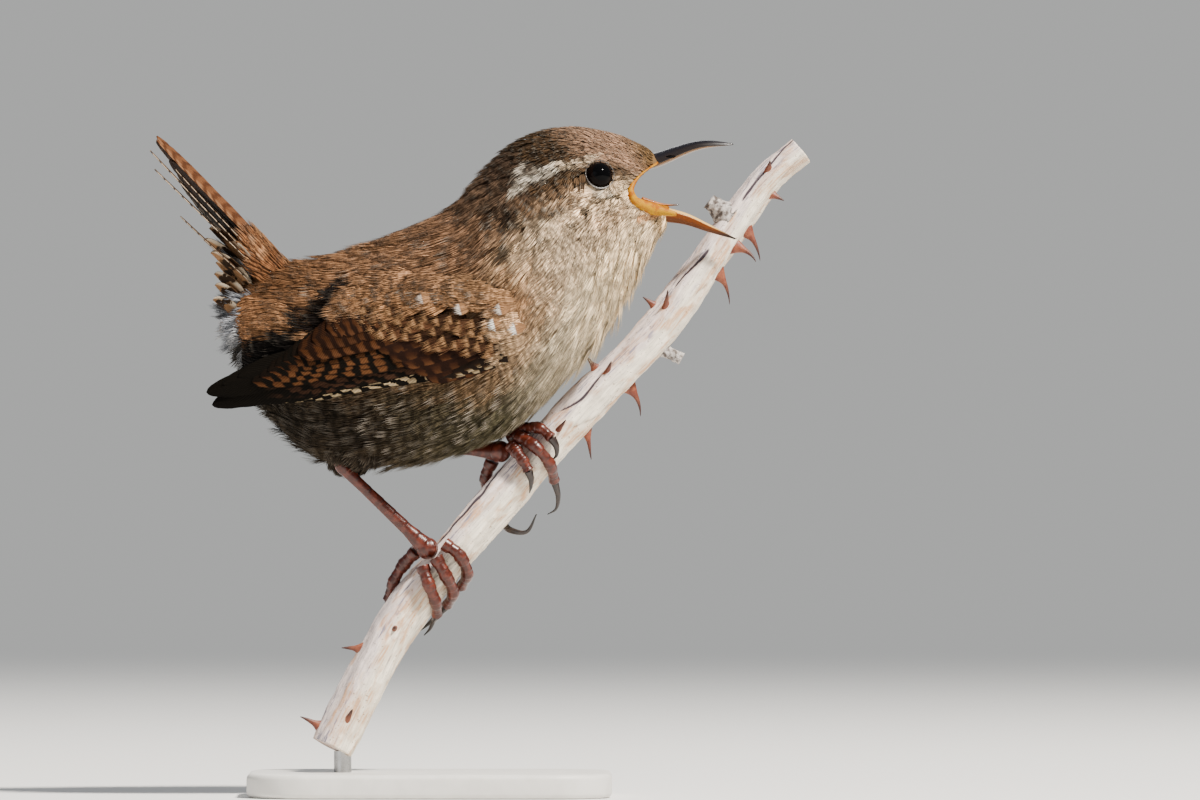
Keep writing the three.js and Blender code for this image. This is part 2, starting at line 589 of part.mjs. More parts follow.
function stemRadius(t) {
  const place = t * (STEM_RADII.length - 1);
  const before = Math.min(Math.floor(place), STEM_RADII.length - 2);
  return lerp(STEM_RADII[before], STEM_RADII[before + 1], place - before);
}

// A point beside the stem: how far along it, the angle round it, and the distance from its middle.
function besideStem([along, angle, distance]) {
  const t = THREE.MathUtils.clamp(along / stemLong, 0, 1);
  const tangent = stemLine.getTangentAt(t);
  const upper = vector(-tangent.z, 0, tangent.x).normalize();
  const near = tangent.clone().cross(upper).normalize();
  if (near.y > 0) near.negate();
  return stemLine
    .getPointAt(t)
    .addScaledVector(upper, distance * Math.cos(radians(angle)))
    .addScaledVector(near, distance * Math.sin(radians(angle)));
}

function thornForm({ along, angle, long, lean, hook }, grow = 0) {
  const radius = stemRadius(along / stemLong);
  const curve = new THREE.QuadraticBezierCurve3(
    besideStem([along - lean, angle, radius - ROOTED]),
    besideStem([along + lean * long * 0.7, angle, radius + long / 2]),
    besideStem([along + (lean - hook / 2) * long, angle, radius + long]),
  );
  return tubeForm(curve, (t) => lerp(THORN_ROOT, THORN_TIP, Math.pow(t, 0.6)), 5, 3, grow);
}

function shootForm({ along, angle, long, lean, root, tip }, grow = 0) {
  const radius = stemRadius(along / stemLong);
  const curve = new THREE.LineCurve3(
    besideStem([along, angle, radius - ROOTED]),
    besideStem([along + lean * long, angle, radius + long]),
  );
  return tubeForm(curve, (t) => lerp(root, tip, t), 7, 2, grow);
}

function barkForm(grow = 0) {
  return tubeForm(stemLine, (t, angle) => {
    const ridge = 1 + RIDGES.deep * Math.cos(RIDGES.count * angle + RIDGES.twist * t);
    const knot = 1 + KNOTS.deep * Math.sin(KNOTS.often * t + KNOTS.twist * angle);
    return stemRadius(t) * ridge * knot;
  }, STEM_SIDES, STEM_STEPS, grow);
}

function stemForm(grow = 0) {
  return joined([
    barkForm(grow),
    ...THORNS.map((thorn) => thornForm(thorn, grow)),
    ...SHOOTS.map((shoot) => shootForm(shoot, grow)),
  ]);
}

// Legs, toes and claws
function legForm(leg, grow = 0) {
  const heel = vector(...leg.heel);
  const pad = besideStem(leg.pad);
  const bend = heel.clone().lerp(pad, 0.5).add(vector(SHANK.bow, 0, SHANK.bow));
  const curve = new THREE.CatmullRomCurve3([heel, bend, heel.clone().lerp(pad, SHANK_AT.bend), pad]);
  const blend = (from, to, t) => THREE.MathUtils.clamp((t - from) / (to - from), 0, 1);
  const radius = (t) => {
    const upper = lerp(SHANK.heel, SHANK.middle, blend(0, SHANK_AT.middle, t));
    const lower = lerp(upper, SHANK.ankle, blend(SHANK_AT.middle, SHANK_AT.ankle, t));
    return lerp(lower, SHANK.pad, blend(SHANK_AT.ankle, 1, t));
  };
  const shank = tubeForm(curve, radius, 8, 7, grow);
  const ball = new THREE.SphereGeometry(SHANK.pad + grow, 8, 6);
  ball.translate(...pad.toArray());
  return shank.add(solidOf(ball));
}

function toeCurve(toe) {
  return new THREE.CatmullRomCurve3(toe.path.map(besideStem));
}

// Toes swell at each joint pad.
function toeForm(toe, grow = 0) {
  return tubeForm(toeCurve(toe), (t) => {
    const swell = 1 + TOE_PADS.swell * Math.cos(t * 2 * Math.PI * TOE_PADS.count);
    return lerp(TOE_ROOT, TOE_TIP, t) * swell;
  }, 7, 7, grow);
}

function clawForm(toe, grow = 0) {
  const end = toeCurve(toe).getPointAt(1);
  const first = besideStem(toe.claw[0]);
  const start = end.clone().lerp(first, GAP / end.distanceTo(first));
  const curve = new THREE.CatmullRomCurve3([start, ...toe.claw.map(besideStem)]);
  return tubeForm(curve, (t) => lerp(CLAW_ROOT, CLAW_TIP, t), 5, 5, grow);
}

function thighForm(leg, sign, grow = 0) {
  const ball = new THREE.SphereGeometry(1, 12, 8);
  ball.scale(...THIGHS.half.map((half) => half + grow));
  ball.rotateY(radians(THIGHS.lean));
  const [x, y, z] = leg.heel;
  ball.translate(x + THIGHS.forward, y - sign * THIGHS.inward, z + THIGHS.up);
  return solidOf(ball);
}

// Stand
function baseForm() {
  const halfLong = BASE.long / 2 - BASE.edge;
  const halfWide = BASE.wide / 2 - BASE.edge;
  const shape = new THREE.Shape();
  const turns = [[1, -1, -90], [1, 1, 0], [-1, 1, 90], [-1, -1, 180]];
  for (const [x, y, from] of turns) {
    const centre = [x * (halfLong - BASE.corner), y * (halfWide - BASE.corner)];
    shape.absarc(...centre, BASE.corner, radians(from), radians(from + 90), false);
  }
  const plate = new THREE.ExtrudeGeometry(shape, {
    depth: BASE.high - 2 * BASE.edge,
    bevelEnabled: true,
    bevelSize: BASE.edge,
    bevelThickness: BASE.edge,
    bevelSegments: 1,
    curveSegments: 5,
  });
  plate.translate(0, 0, BASE.edge);
  return solidOf(plate);
}

function rodForm() {
  const foot = BASE.high + GAP;
  const top = stemLine.getPointAt(ROD.along / stemLong);
  const rod = new THREE.CylinderGeometry(ROD.radius, ROD.radius, top.z - foot, 20, 1);
  rod.rotateX(Math.PI / 2);
  rod.translate(top.x, top.y, (top.z + foot) / 2);
  return solidOf(rod);
}

// Assembly
const wren = new THREE.Group();

function addNode(name, solid, finish) {
  const mesh = largest(solid).getMesh();
  const geometry = new THREE.BufferGeometry();
  geometry.setAttribute("position", new THREE.BufferAttribute(new Float32Array(mesh.vertProperties), 3));
  geometry.setIndex(new THREE.BufferAttribute(new Uint32Array(mesh.triVerts), 1));
  geometry.computeVertexNormals();
  const node = new THREE.Mesh(geometry, new THREE.MeshStandardMaterial(MATERIALS[finish]));
  node.name = name;
  wren.add(node);
}

const body = bodyForm(0);
const bodyGrown = bodyForm(GAP);
const stem = stemForm();
const stemGrown = stemForm(GAP);
const upperBill = billForm(UPPER_BILL, UPPER_DEPTH, UPPER_WIDTH, 1);
const lowerBill = billForm(LOWER_BILL, LOWER_DEPTH, LOWER_WIDTH, -1);
const upperBillGrown = billForm(UPPER_BILL, UPPER_DEPTH, UPPER_WIDTH, 1, GAP);
const lowerBillGrown = billForm(LOWER_BILL, LOWER_DEPTH, LOWER_WIDTH, -1, GAP);
const tail = tailForm();

// Thighs sit in the belly and take the heels. The belly gives way to them, to the left foot and to the stem.
const thighs = SIDES.map(({ name, sign }) => ({
  name,
  solid: thighForm(LEGS[name], sign).subtract(legForm(LEGS[name], GAP)),
}));
const legRoom = ({ name, sign }) => thighForm(LEGS[name], sign, GAP).add(legForm(LEGS[name], GAP));
const belly = body
  .subtract(joined(SIDES.map(legRoom)))
  .subtract(joined(TOES.left.map((toe) => toeForm(toe, GAP))))
  .subtract(stemGrown);
addNode("rump", between(belly, null, CUT_RUMP), "rufous");
addNode("torso", between(belly, CUT_RUMP, CUT_NECK), "brown");
addNode("neck", between(body, CUT_NECK, CUT_HEAD), "buff");
for (const { name, solid } of thighs) addNode(`thigh_${name}`, solid, "buff");

// Head, with its lids raised round the eyes and its mouth cut open.
const lids = joined(SIDES.map(({ sign }) => lidForm(sign)));
const eyeHoles = joined(SIDES.map(({ sign }) => eyeForm(sign, GAP)));
const head = between(body, CUT_HEAD, null)
  .add(lids)
  .subtract(wedge(0))
  .subtract(eyeHoles)
  .subtract(upperBillGrown)
  .subtract(lowerBillGrown);
addNode("head", head, "brown");
const lining = bodyForm(LIP_PROUD)
  .intersect(wedge(GAP))
  .subtract(wedge(GAP + LINING))
  .subtract(upperBillGrown)
  .subtract(lowerBillGrown);
addNode("gape", lining, "gape");
addNode("bill_upper", upperBill.subtract(nostrils()).subtract(wedge(0).intersect(bodyGrown)), "horn");
addNode("bill_lower", lowerBill.subtract(wedge(0).intersect(bodyGrown)), "jaw");
const tongueRoom = bodyForm(LIP_PROUD + GAP).subtract(wedge(2 * GAP + LINING)).add(lowerBillGrown);
addNode("tongue", tongueForm().subtract(tongueRoom), "gape");
for (const { name, sign } of SIDES) addNode(`eye_${name}`, eyeForm(sign), "eye");

// Wings and tail meet the body face to face.
for (const { name, sign } of SIDES) {
  addNode(`wing_${name}`, wingForm(sign).subtract(bodyGrown), "wing");
}
addNode("tail", tail.subtract(bodyGrown), "rufous");

// Legs, toes and claws, each cleared of the stem and of what was made before it.
for (const { name } of SIDES) {
  let taken = legForm(LEGS[name], GAP).add(stemGrown);
  addNode(`leg_${name}`, legForm(LEGS[name]).subtract(stemGrown), "shank");
  for (const toe of TOES[name]) {
    addNode(`toe_${name}_${toe.toe}`, toeForm(toe).subtract(taken), "shank");
    addNode(`claw_${name}_${toe.toe}`, clawForm(toe).subtract(taken).subtract(toeForm(toe, GAP)), "claw");
    taken = taken.add(toeForm(toe, GAP)).add(clawForm(toe, GAP));
  }
}

addNode("perch_stem", stem, "bark");
addNode("stand_base", baseForm(), "stand");
addNode("stand_rod", rodForm().subtract(stemGrown), "rod");

export default wren;
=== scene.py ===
"""A life-size model of a wren that sings on a cut length of bramble stem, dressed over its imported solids.

Lengths are in millimetres and become metres as each mesh is written. +X is the way the bird faces,
-Y is its right side, which the camera sees, and +Z is up. The surface of the body is named by two
numbers: t, which runs from 0 at the vent to 1 at the chin, and an angle round the body, which is 0 on
the upper outline and negative on the right side.
"""

import logging
import math
from collections.abc import Callable, Sequence
from dataclasses import dataclass, field
from enum import Enum
from functools import cache
from typing import ClassVar, Protocol

import bpy
import numpy as np
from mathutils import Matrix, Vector
from mathutils.kdtree import KDTree


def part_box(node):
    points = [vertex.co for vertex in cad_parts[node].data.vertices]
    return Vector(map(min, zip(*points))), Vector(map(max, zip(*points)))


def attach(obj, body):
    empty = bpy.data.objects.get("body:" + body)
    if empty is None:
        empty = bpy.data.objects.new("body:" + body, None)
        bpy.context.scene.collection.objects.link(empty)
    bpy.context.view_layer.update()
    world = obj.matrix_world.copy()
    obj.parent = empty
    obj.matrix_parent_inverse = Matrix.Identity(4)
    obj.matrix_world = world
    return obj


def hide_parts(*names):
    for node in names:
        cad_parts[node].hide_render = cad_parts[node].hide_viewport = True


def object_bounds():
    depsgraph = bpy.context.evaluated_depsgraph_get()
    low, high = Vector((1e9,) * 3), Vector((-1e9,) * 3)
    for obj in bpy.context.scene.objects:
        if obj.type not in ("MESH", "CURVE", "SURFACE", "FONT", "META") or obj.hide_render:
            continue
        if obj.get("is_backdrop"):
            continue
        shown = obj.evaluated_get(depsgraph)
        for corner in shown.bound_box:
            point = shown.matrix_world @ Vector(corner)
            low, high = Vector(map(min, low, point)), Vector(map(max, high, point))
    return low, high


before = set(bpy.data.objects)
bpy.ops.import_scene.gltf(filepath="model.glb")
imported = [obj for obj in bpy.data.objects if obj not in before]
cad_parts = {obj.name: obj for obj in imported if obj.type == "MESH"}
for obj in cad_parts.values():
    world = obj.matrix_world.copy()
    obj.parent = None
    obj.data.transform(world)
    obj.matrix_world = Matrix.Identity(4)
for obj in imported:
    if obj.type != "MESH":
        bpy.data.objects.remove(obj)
CAD_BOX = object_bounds()

LOG = logging.getLogger("wren")
MM = 0.001
ROOT_BODY = "root"
BAKE_MAP = "OFBake"
TUFT_PATCH = 0.003

Array = np.ndarray
Piece = bpy.types.Object
Material = bpy.types.Material
Colour = tuple[float, float, float]
Point2 = tuple[float, float]
Point3 = tuple[float, float, float]
# Gives numbers for t, from pole to pole, and the angle round.
Form = Callable[[Array, Array], Array]
# Gives points for the millimetres across a feather, the share along it and the height.
Placing = Callable[[Array, Array, Array], Array]


class Side(Enum):
    """The bird's two sides, as the sign of Y."""

    RIGHT = -1
    LEFT = 1

    @property
    def label(self) -> str:
        """The side's name as the nodes have it."""
        return self.name.lower()


# Blends and curves
def smooth(low: float, high: float, value: Array) -> Array:
    """A soft step of a value, from 0 at low to 1 at high."""
    share = np.clip((value - low) / (high - low), 0, 1)
    return share * share * (3.0 - 2.0 * share)


def unit(vectors: Array) -> Array:
    """Vectors of length 1 that point the same way."""
    return vectors / np.maximum(np.linalg.norm(vectors, axis=-1, keepdims=True), 1e-9)


def inside_outline(x: Array, z: Array, outline: Sequence[Point2]) -> Array:
    """Whether places in side view are inside an outline, given by its corners."""
    inside = np.zeros(np.shape(x), bool)
    for (x1, z1), (x2, z2) in zip(outline, (*outline[1:], outline[0])):
        rise = z2 - z1 if z2 != z1 else 1e-9
        inside ^= ((z1 > z) != (z2 > z)) & (x < x1 + (z - z1) * (x2 - x1) / rise)
    return inside


def catmull_rom(rows: Array, samples: int, spaced: float = 0.5) -> Array:
    """A smooth line through rows of numbers.

    Args:
        rows: The points, one to a row.
        samples: How many places along the line to return.
        spaced: The power of the gaps between the points that spaces the line: 0 is even.

    Returns:
        One row of numbers for each sample.
    """
    padded = np.vstack([2 * rows[0] - rows[1], rows, 2 * rows[-1] - rows[-2]])
    place = np.linspace(0, len(rows) - 1, samples)
    first = np.minimum(place.astype(int), len(rows) - 2)
    share = (place - first)[:, None]
    before, start, end, after = (padded[first + k] for k in range(4))
    ends = ((before, start), (start, end), (end, after))
    gap_in, gap, gap_out = (
        np.maximum(np.linalg.norm(b - a, axis=1, keepdims=True) ** spaced, 1e-4) for a, b in ends
    )
    leave = gap * ((start - before) / gap_in - (end - before) / (gap_in + gap) + (end - start) / gap)
    arrive = gap * ((end - start) / gap - (after - start) / (gap + gap_out) + (after - end) / gap_out)
    bend = 3 * (end - start) - 2 * leave - arrive
    turn = 2 * (start - end) + leave + arrive
    return start + leave * share + bend * share**2 + turn * share**3


class Curve:
    """A smooth line in space, read by the share of its own length."""

    def __init__(self, points: Sequence[Point3], samples: int = 600) -> None:
        """Draws the line through points, as finely as there are samples."""
        self.line = catmull_rom(np.array(points, float), samples)
        steps = np.linalg.norm(np.diff(self.line, axis=0), axis=1)
        self.reach = np.concatenate([[0], np.cumsum(steps)])
        self.length = float(self.reach[-1])

    def at(self, share: Array) -> Array:
        """The points at shares of the length."""
        far = np.clip(share, 0, 1) * self.length
        return np.stack([np.interp(far, self.reach, self.line[:, k]) for k in range(3)], axis=-1)

    def tangent(self, share: Array) -> Array:
        """The directions of the line at shares of its length."""
        step = 0.004
        share = np.asarray(share, float)
        return unit(self.at(np.minimum(share + step, 1)) - self.at(np.maximum(share - step, 0)))

    def frames(self, count: int, top: Point3) -> tuple[Array, Array, Array]:
        """Points along the line with two directions across it, which turn as little as they can.

        Args:
            count: How many points.
            top: Roughly where the second direction starts out.

        Returns:
            The points, the sideways directions and the upward directions.
        """
        share = np.linspace(0, 1, count)
        along = self.tangent(share)
        ups = np.zeros_like(along)
        up = np.array(top, float)
        for k in range(count):
            up = up - along[k] * np.dot(up, along[k])
            up = up / np.linalg.norm(up)
            ups[k] = up
        return self.at(share), np.cross(along, ups), ups


# Meshes
def read_points(piece: Piece) -> Array:
    """The vertices of a piece, in metres."""
    points = np.zeros(len(piece.data.vertices) * 3, np.float32)
    piece.data.vertices.foreach_get("co", points)
    return points.reshape(-1, 3).astype(float)


def write_points(piece: Piece, points: Array) -> None:
    """Moves the vertices of a piece to new points, in metres."""
    piece.data.vertices.foreach_set("co", points.astype(np.float32).ravel())
    piece.data.update()


def deselect() -> None:
    """Leaves nothing selected and no piece in edit mode."""
    if bpy.context.object is not None and bpy.context.object.mode != "OBJECT":
        bpy.ops.object.mode_set(mode="OBJECT")
    bpy.ops.object.select_all(action="DESELECT")


def select(*pieces: Piece) -> None:
    """Selects only these pieces and makes the first one active."""
    deselect()
    for piece in pieces:
        piece.select_set(True)
    bpy.context.view_layer.objects.active = pieces[0]


def named(name: str) -> Piece:
    """Gives the active piece and its mesh a name."""
    piece = bpy.context.object
    piece.name = name
    piece.data.name = name
    return piece


def added(name: str, primitive: str, **sizes: object) -> Piece:
    """Adds a primitive under a name, and nothing else stays selected."""
    deselect()
    getattr(bpy.ops.mesh, f"primitive_{primitive}_add")(**sizes)
    return named(name)


def face_outwards(piece: Piece) -> None:
    """Turns every face of a closed piece to point outwards."""
    select(piece)
    bpy.ops.object.mode_set(mode="EDIT")
    bpy.ops.mesh.select_all(action="SELECT")
    bpy.ops.mesh.normals_make_consistent(inside=False)
    bpy.ops.object.mode_set(mode="OBJECT")


def soften(piece: Piece, angle: float = 180) -> Piece:
    """Shades a piece smooth, except over edges sharper than an angle in degrees."""
    select(piece)
    if angle >= 180.0:
        bpy.ops.object.shade_smooth()
    else:
        bpy.ops.object.shade_smooth_by_angle(angle=math.radians(angle))
    return piece


def cut(piece: Piece, tool: Piece, operation: str = "DIFFERENCE") -> None:
    """Cuts a piece with a tool, which is then removed.

    Args:
        piece: The piece that keeps the result.
        tool: The solid that it is cut by.
        operation: DIFFERENCE, INTERSECT or UNION.
    """
    select(piece)
    boolean = piece.modifiers.new("cut", "BOOLEAN")
    boolean.operation = operation
    boolean.object = tool
    boolean.solver = "EXACT"
    bpy.ops.object.modifier_apply(modifier=boolean.name)
    bpy.data.objects.remove(tool)


def join(name: str, pieces: Sequence[Piece]) -> Piece:
    """Makes one piece of several."""
    select(*pieces)
    if len(pieces) > 1:
        bpy.ops.object.join()
    return named(name)


def store(mesh: bpy.types.Mesh, name: str, rows: Array) -> None:
    """Stores three numbers, or a colour of four, for each vertex of a mesh as an attribute."""
    kind, field_name = ("FLOAT_VECTOR", "vector") if rows.shape[1] == 3 else ("FLOAT_COLOR", "color")
    layer = mesh.attributes.new(name, kind, "POINT")
    layer.data.foreach_set(field_name, rows.astype(np.float32).ravel())


def map_for_baking(mesh: bpy.types.Mesh, places: Array) -> None:
    """Gives a mesh its map for baking, from a place for each corner of its faces."""
    layer = mesh.uv_layers.new(name=BAKE_MAP)
    layer.data.foreach_set("uv", places.astype(np.float32).ravel())


def tree_of(points: Array) -> KDTree:
    """A tree that finds the nearest of many points."""
    tree = KDTree(len(points))
    for number, place in enumerate(points):
        tree.insert(place, number)
    tree.balance()
    return tree


def formed_ball(
    name: str, sides: int, rings: int, place: Form
) -> Piece:
    """Adds a UV sphere and moves its rings and meridians into a form.

    Args:
        name: The piece's name.
        sides: How many meridians it has.
        rings: How many bands it has from pole to pole.
        place: Gives the points in millimetres for t, from pole to pole, and the angle round.

    Returns:
        The new piece.
    """
    piece = added(name, "uv_sphere", segments=sides, ring_count=rings, radius=1)
    ball = read_points(piece)
    t = np.arccos(np.clip(-ball[:, 2], -1, 1)) / math.pi
    angle = np.arctan2(ball[:, 0], ball[:, 1])
    points = place(t, angle)
    turns = np.linspace(0, 2 * math.pi, sides, endpoint=False)
    for pole in (0, 1):
        points[np.abs(t - pole) < 1e-4] = place(np.full(sides, pole), turns).mean(axis=0)
    write_points(piece, points * MM)
    store(piece.data, "around", np.column_stack([np.cos(angle), np.sin(angle), t]))
    face_outwards(piece)
    return soften(piece)


def tube(
    name: str,
    curve: Curve,
    radius: Form,
    sides: int,
    rings: int,
    top: Point3 = (0, 0, 1),
) -> Piece:
    """A closed tube along a curve, with flat ends.

    Args:
        name: The piece's name.
        curve: The line that it follows.
        radius: Its radius for shares of the length and angles round it.
        sides: How many sides it has.
        rings: How many rings it has.
        top: Roughly where angle 0 points at the start.

    Returns:
        The new piece.
    """
    centres, sideways, upwards = curve.frames(rings, top)

    def place(t: Array, angle: Array) -> Array:
        """Points of the tube's surface."""
        step = np.rint(t * (rings + 1)).astype(int) - 1
        on_ring = (step >= 0) & (step < rings)
        ring = np.clip(step, 0, rings - 1)
        size = np.where(on_ring, radius(ring / (rings - 1), angle), 0)[:, None]
        round_it = sideways[ring] * np.sin(angle)[:, None] + upwards[ring] * np.cos(angle)[:, None]
        return centres[ring] + round_it * size

    return formed_ball(name, sides, rings + 1, place)


@dataclass
class Attributes:
    """What a feather mesh carries besides its shape, one row for each vertex.

    ground is its own colour; vane is the place across it, from -1 to 1, along it, from 0 to 1, and its
    random tone; pattern is the strength of its bars, how many it has and the strength of its pale tip.
    """

    ground: Array
    vane: Array
    pattern: Array

    def write(self, mesh: bpy.types.Mesh) -> None:
        """Stores the rows on a mesh."""
        store(mesh, "ground", np.column_stack([self.ground, np.ones(len(self.ground))]))
        store(mesh, "vane", self.vane)
        store(mesh, "pattern", self.pattern)


def woven(
    name: str, points: Array, triangles: Array, attributes: Attributes, bake: Array
) -> Piece:
    """A piece made of many small solids at once.

    Args:
        name: The piece's name.
        points: The vertices, in millimetres.
        triangles: Three vertex numbers to a row.
        attributes: What each vertex carries.
        bake: Each vertex's place in the map for baking.

    Returns:
        The new piece.
    """
    first, second, third = (points[triangles[:, k]] for k in range(3))
    volume = np.einsum("ij,ij->", first - points.mean(axis=0), np.cross(second - first, third - first))
    if volume < 0:
        triangles = triangles[:, ::-1]
    mesh = bpy.data.meshes.new(name)
    mesh.vertices.add(len(points))
    mesh.vertices.foreach_set("co", (points * MM).astype(np.float32).ravel())
    mesh.loops.add(triangles.size)
    mesh.loops.foreach_set("vertex_index", triangles.astype(np.int32).ravel())
    mesh.polygons.add(len(triangles))
    mesh.polygons.foreach_set("loop_start", np.arange(0, triangles.size, 3, dtype=np.int32))
    mesh.update(calc_edges=True)
    mesh.shade_smooth()
    attributes.write(mesh)
    map_for_baking(mesh, bake[triangles.ravel()])
    piece = bpy.data.objects.new(name, mesh)
    bpy.context.scene.collection.objects.link(piece)
    return piece


# Shaders
def maths(operation: str, turned: bool = False) -> Callable[..., "Wire"]:
    """A method that adds one Math node.

    Args:
        operation: The node's operation.
        turned: Whether the wire is the second value, as in 1 - mask.

    Returns:
        The method, for a wire and the other value where there is one.
    """

    def method(wire: "Wire", *other: "Wire | float") -> "Wire":
        """Adds the node and returns its wire."""
        values = (*other, wire) if turned else (wire, *other)
        return wire.shader.node("ShaderNodeMath", {"operation": operation}, dict(enumerate(values)))

    return method


class Wire:
    """A node's output that takes part in Python expressions, with one Math node to each operation."""

    __add__, __radd__ = maths("ADD"), maths("ADD", True)
    __sub__, __rsub__ = maths("SUBTRACT"), maths("SUBTRACT", True)
    __mul__, __rmul__ = maths("MULTIPLY"), maths("MULTIPLY", True)
    size, sine, larger = maths("ABSOLUTE"), maths("SINE"), maths("MAXIMUM")

    def __init__(self, shader: "Shader", socket: bpy.types.NodeSocket) -> None:
        """Wraps an output socket of a shader."""
        self.shader = shader
        self.socket = socket

    def step(self, low: float, high: float) -> "Wire":
        """A soft step from 0 at low to 1 at high; low may be the larger."""
        inputs = {0: self, 1: low, 2: high, 3: 0, 4: 1.0}
        return self.shader.node("ShaderNodeMapRange", {"interpolation_type": "SMOOTHSTEP"}, inputs)


Value = Wire | float
Paint = Wire | Colour


class Shader:
    """One material and the nodes that feed its Principled shader."""

    def __init__(self, name: str, **constants: float | Colour) -> None:
        """Starts a material.

        Args:
            name: The material's name.
            **constants: Values of the shader's own sockets, with _ for a space.
        """
        self.material = bpy.data.materials.new(name)
        self.material.use_nodes = True
        self.tree = self.material.node_tree
        self.surface = self.tree.nodes["Principled BSDF"]
        self.set(**constants)

    def feed(self, socket: bpy.types.NodeSocket, value: "Wire | float | tuple") -> None:
        """Links a wire to a socket, or sets the socket's own value."""
        if isinstance(value, Wire):
            self.tree.links.new(value.socket, socket)
        elif isinstance(value, tuple) and socket.type == "RGBA":
            socket.default_value = (*value, 1)
        else:
            socket.default_value = value

    def set(self, **values: "Wire | float | Colour") -> "Shader":
        """Sets or links sockets of the Principled shader, named with _ for a space."""
        for name, value in values.items():
            words = " ".join("IOR" if word == "ior" else word.capitalize() for word in name.split("_"))
            self.feed(self.surface.inputs[words], value)
        return self

    def node(
        self,
        kind: str,
        settings: dict[str, object] | None = None,
        inputs: dict[str | int, "Wire | float | tuple"] | None = None,
        output: str | int = 0,
    ) -> Wire:
        """Adds any node.

        Args:
            kind: The node's type.
            settings: Its properties; stops are the places and colours of a ramp.
            inputs: The value or wire for each socket, by name or number.
            output: The socket to return.

        Returns:
            The wire from its output.
        """
        made = self.tree.nodes.new(kind)
        for name, value in (settings or {}).items():
            setattr(made, name, value)
        for name, value in (inputs or {}).items():
            self.feed(made.inputs[name], value)
        return Wire(self, made.outputs[output])

    def mix(self, first: Paint, second: Paint, share: Value, blend: str = "MIX") -> Wire:
        """One colour blended over another by a share."""
        settings = {"data_type": "RGBA", "blend_type": blend}
        return self.node("ShaderNodeMix", settings, {0: share, 6: first, 7: second}, 2)

    def shade(self, paint: Paint, amount: Value) -> Wire:
        """A colour made darker or lighter by a factor."""
        inputs = {0: paint, "Scale": amount}
        return self.node("ShaderNodeVectorMath", {"operation": "SCALE"}, inputs)

    def attribute(self, name: str, output: str = "Vector") -> Wire:
        """A mesh attribute."""
        return self.node("ShaderNodeAttribute", {"attribute_name": name}, output=output)

    def parts(self, name: str) -> tuple[Wire, ...]:
        """The three numbers of an attribute, or of the place in millimetres."""
        vector = self.millimetres() if name == "place" else self.attribute(name)
        return tuple(self.node("ShaderNodeSeparateXYZ", None, {0: vector}, k) for k in range(3))

    def millimetres(self) -> Wire:
        """The place on the piece, in millimetres."""
        place = self.node("ShaderNodeTexCoord", output="Object")
        return self.shade(place, 1.0 / MM)

    def noise(self, place: Wire, scale: float, detail: float = 2, stretch: Point3 = (1, 1, 1)) -> Wire:
        """Soft noise from 0 to 1 over a place, with so many lumps to the unit."""
        spread = self.node("ShaderNodeVectorMath", {"operation": "MULTIPLY"}, {0: place, 1: stretch})
        return self.node("ShaderNodeTexNoise", None, {"Vector": spread, "Scale": scale, "Detail": detail})

    def bump(self, height: Wire, depth: float, strength: float = 1) -> "Shader":
        """Roughens the surface by a height map, whose depth is in millimetres."""
        inputs = {"Strength": strength, "Distance": depth * MM, "Height": height}
        return self.set(normal=self.node("ShaderNodeBump", None, inputs, "Normal"))


# The bird's body as a surface
@dataclass(frozen=True)
class Station:
    """One section of the body: its upper and lower point in side view, half its width and its sag."""

    name: str
    upper: Point2
    lower: Point2
    half: float
    low: float = 0.0


STATIONS = (
    Station("vent", (-29.2, 68), (-29.2, 67.6), 0.1),
    Station("undertail", (-28.4, 71.6), (-28, 63.4), 3.6),
    Station("tail base", (-26.6, 74.4), (-26.1, 58.9), 6.4, 0.04),
    Station("rump", (-22.4, 76.1), (-22.4, 53.6), 9.6, 0.08),
    Station("hips", (-16.4, 77.1), (-15.8, 48), 12.3, 0.1),
    Station("loins", (-9.3, 79), (-7.6, 46.9), 13.9, 0.12),
    Station("back", (-2.1, 81.8), (1.6, 48), 14.5, 0.12),
    Station("shoulders", (2.7, 84.2), (11.7, 52.1), 14.1, 0.1),
    Station("mantle", (5.3, 87.1), (20.2, 60), 12.5, 0.08),
    Station("breast", (7.6, 89.8), (25.8, 66.8), 10.7, 0.06),
    Station("nape", (10.5, 92.5), (28.8, 72.4), 9.2, 0.05),
    Station("hind crown", (14.6, 94.8), (31.2, 77.2), 8.1, 0.05),
    Station("crown", (20.3, 95.7), (32.9, 80), 6.1, -0.04),
    Station("forehead", (26, 94.8), (33.8, 81.4), 4.1, -0.05),
    Station("lores", (30, 93.2), (34.2, 83.2), 2.9),
    Station("bill base", (32.2, 91.7), (34.2, 85.6), 2.2),
    Station("chin", (33.5, 89.2), (33.5, 88.8), 0.1),
)
LAST_STATION = len(STATIONS) - 1


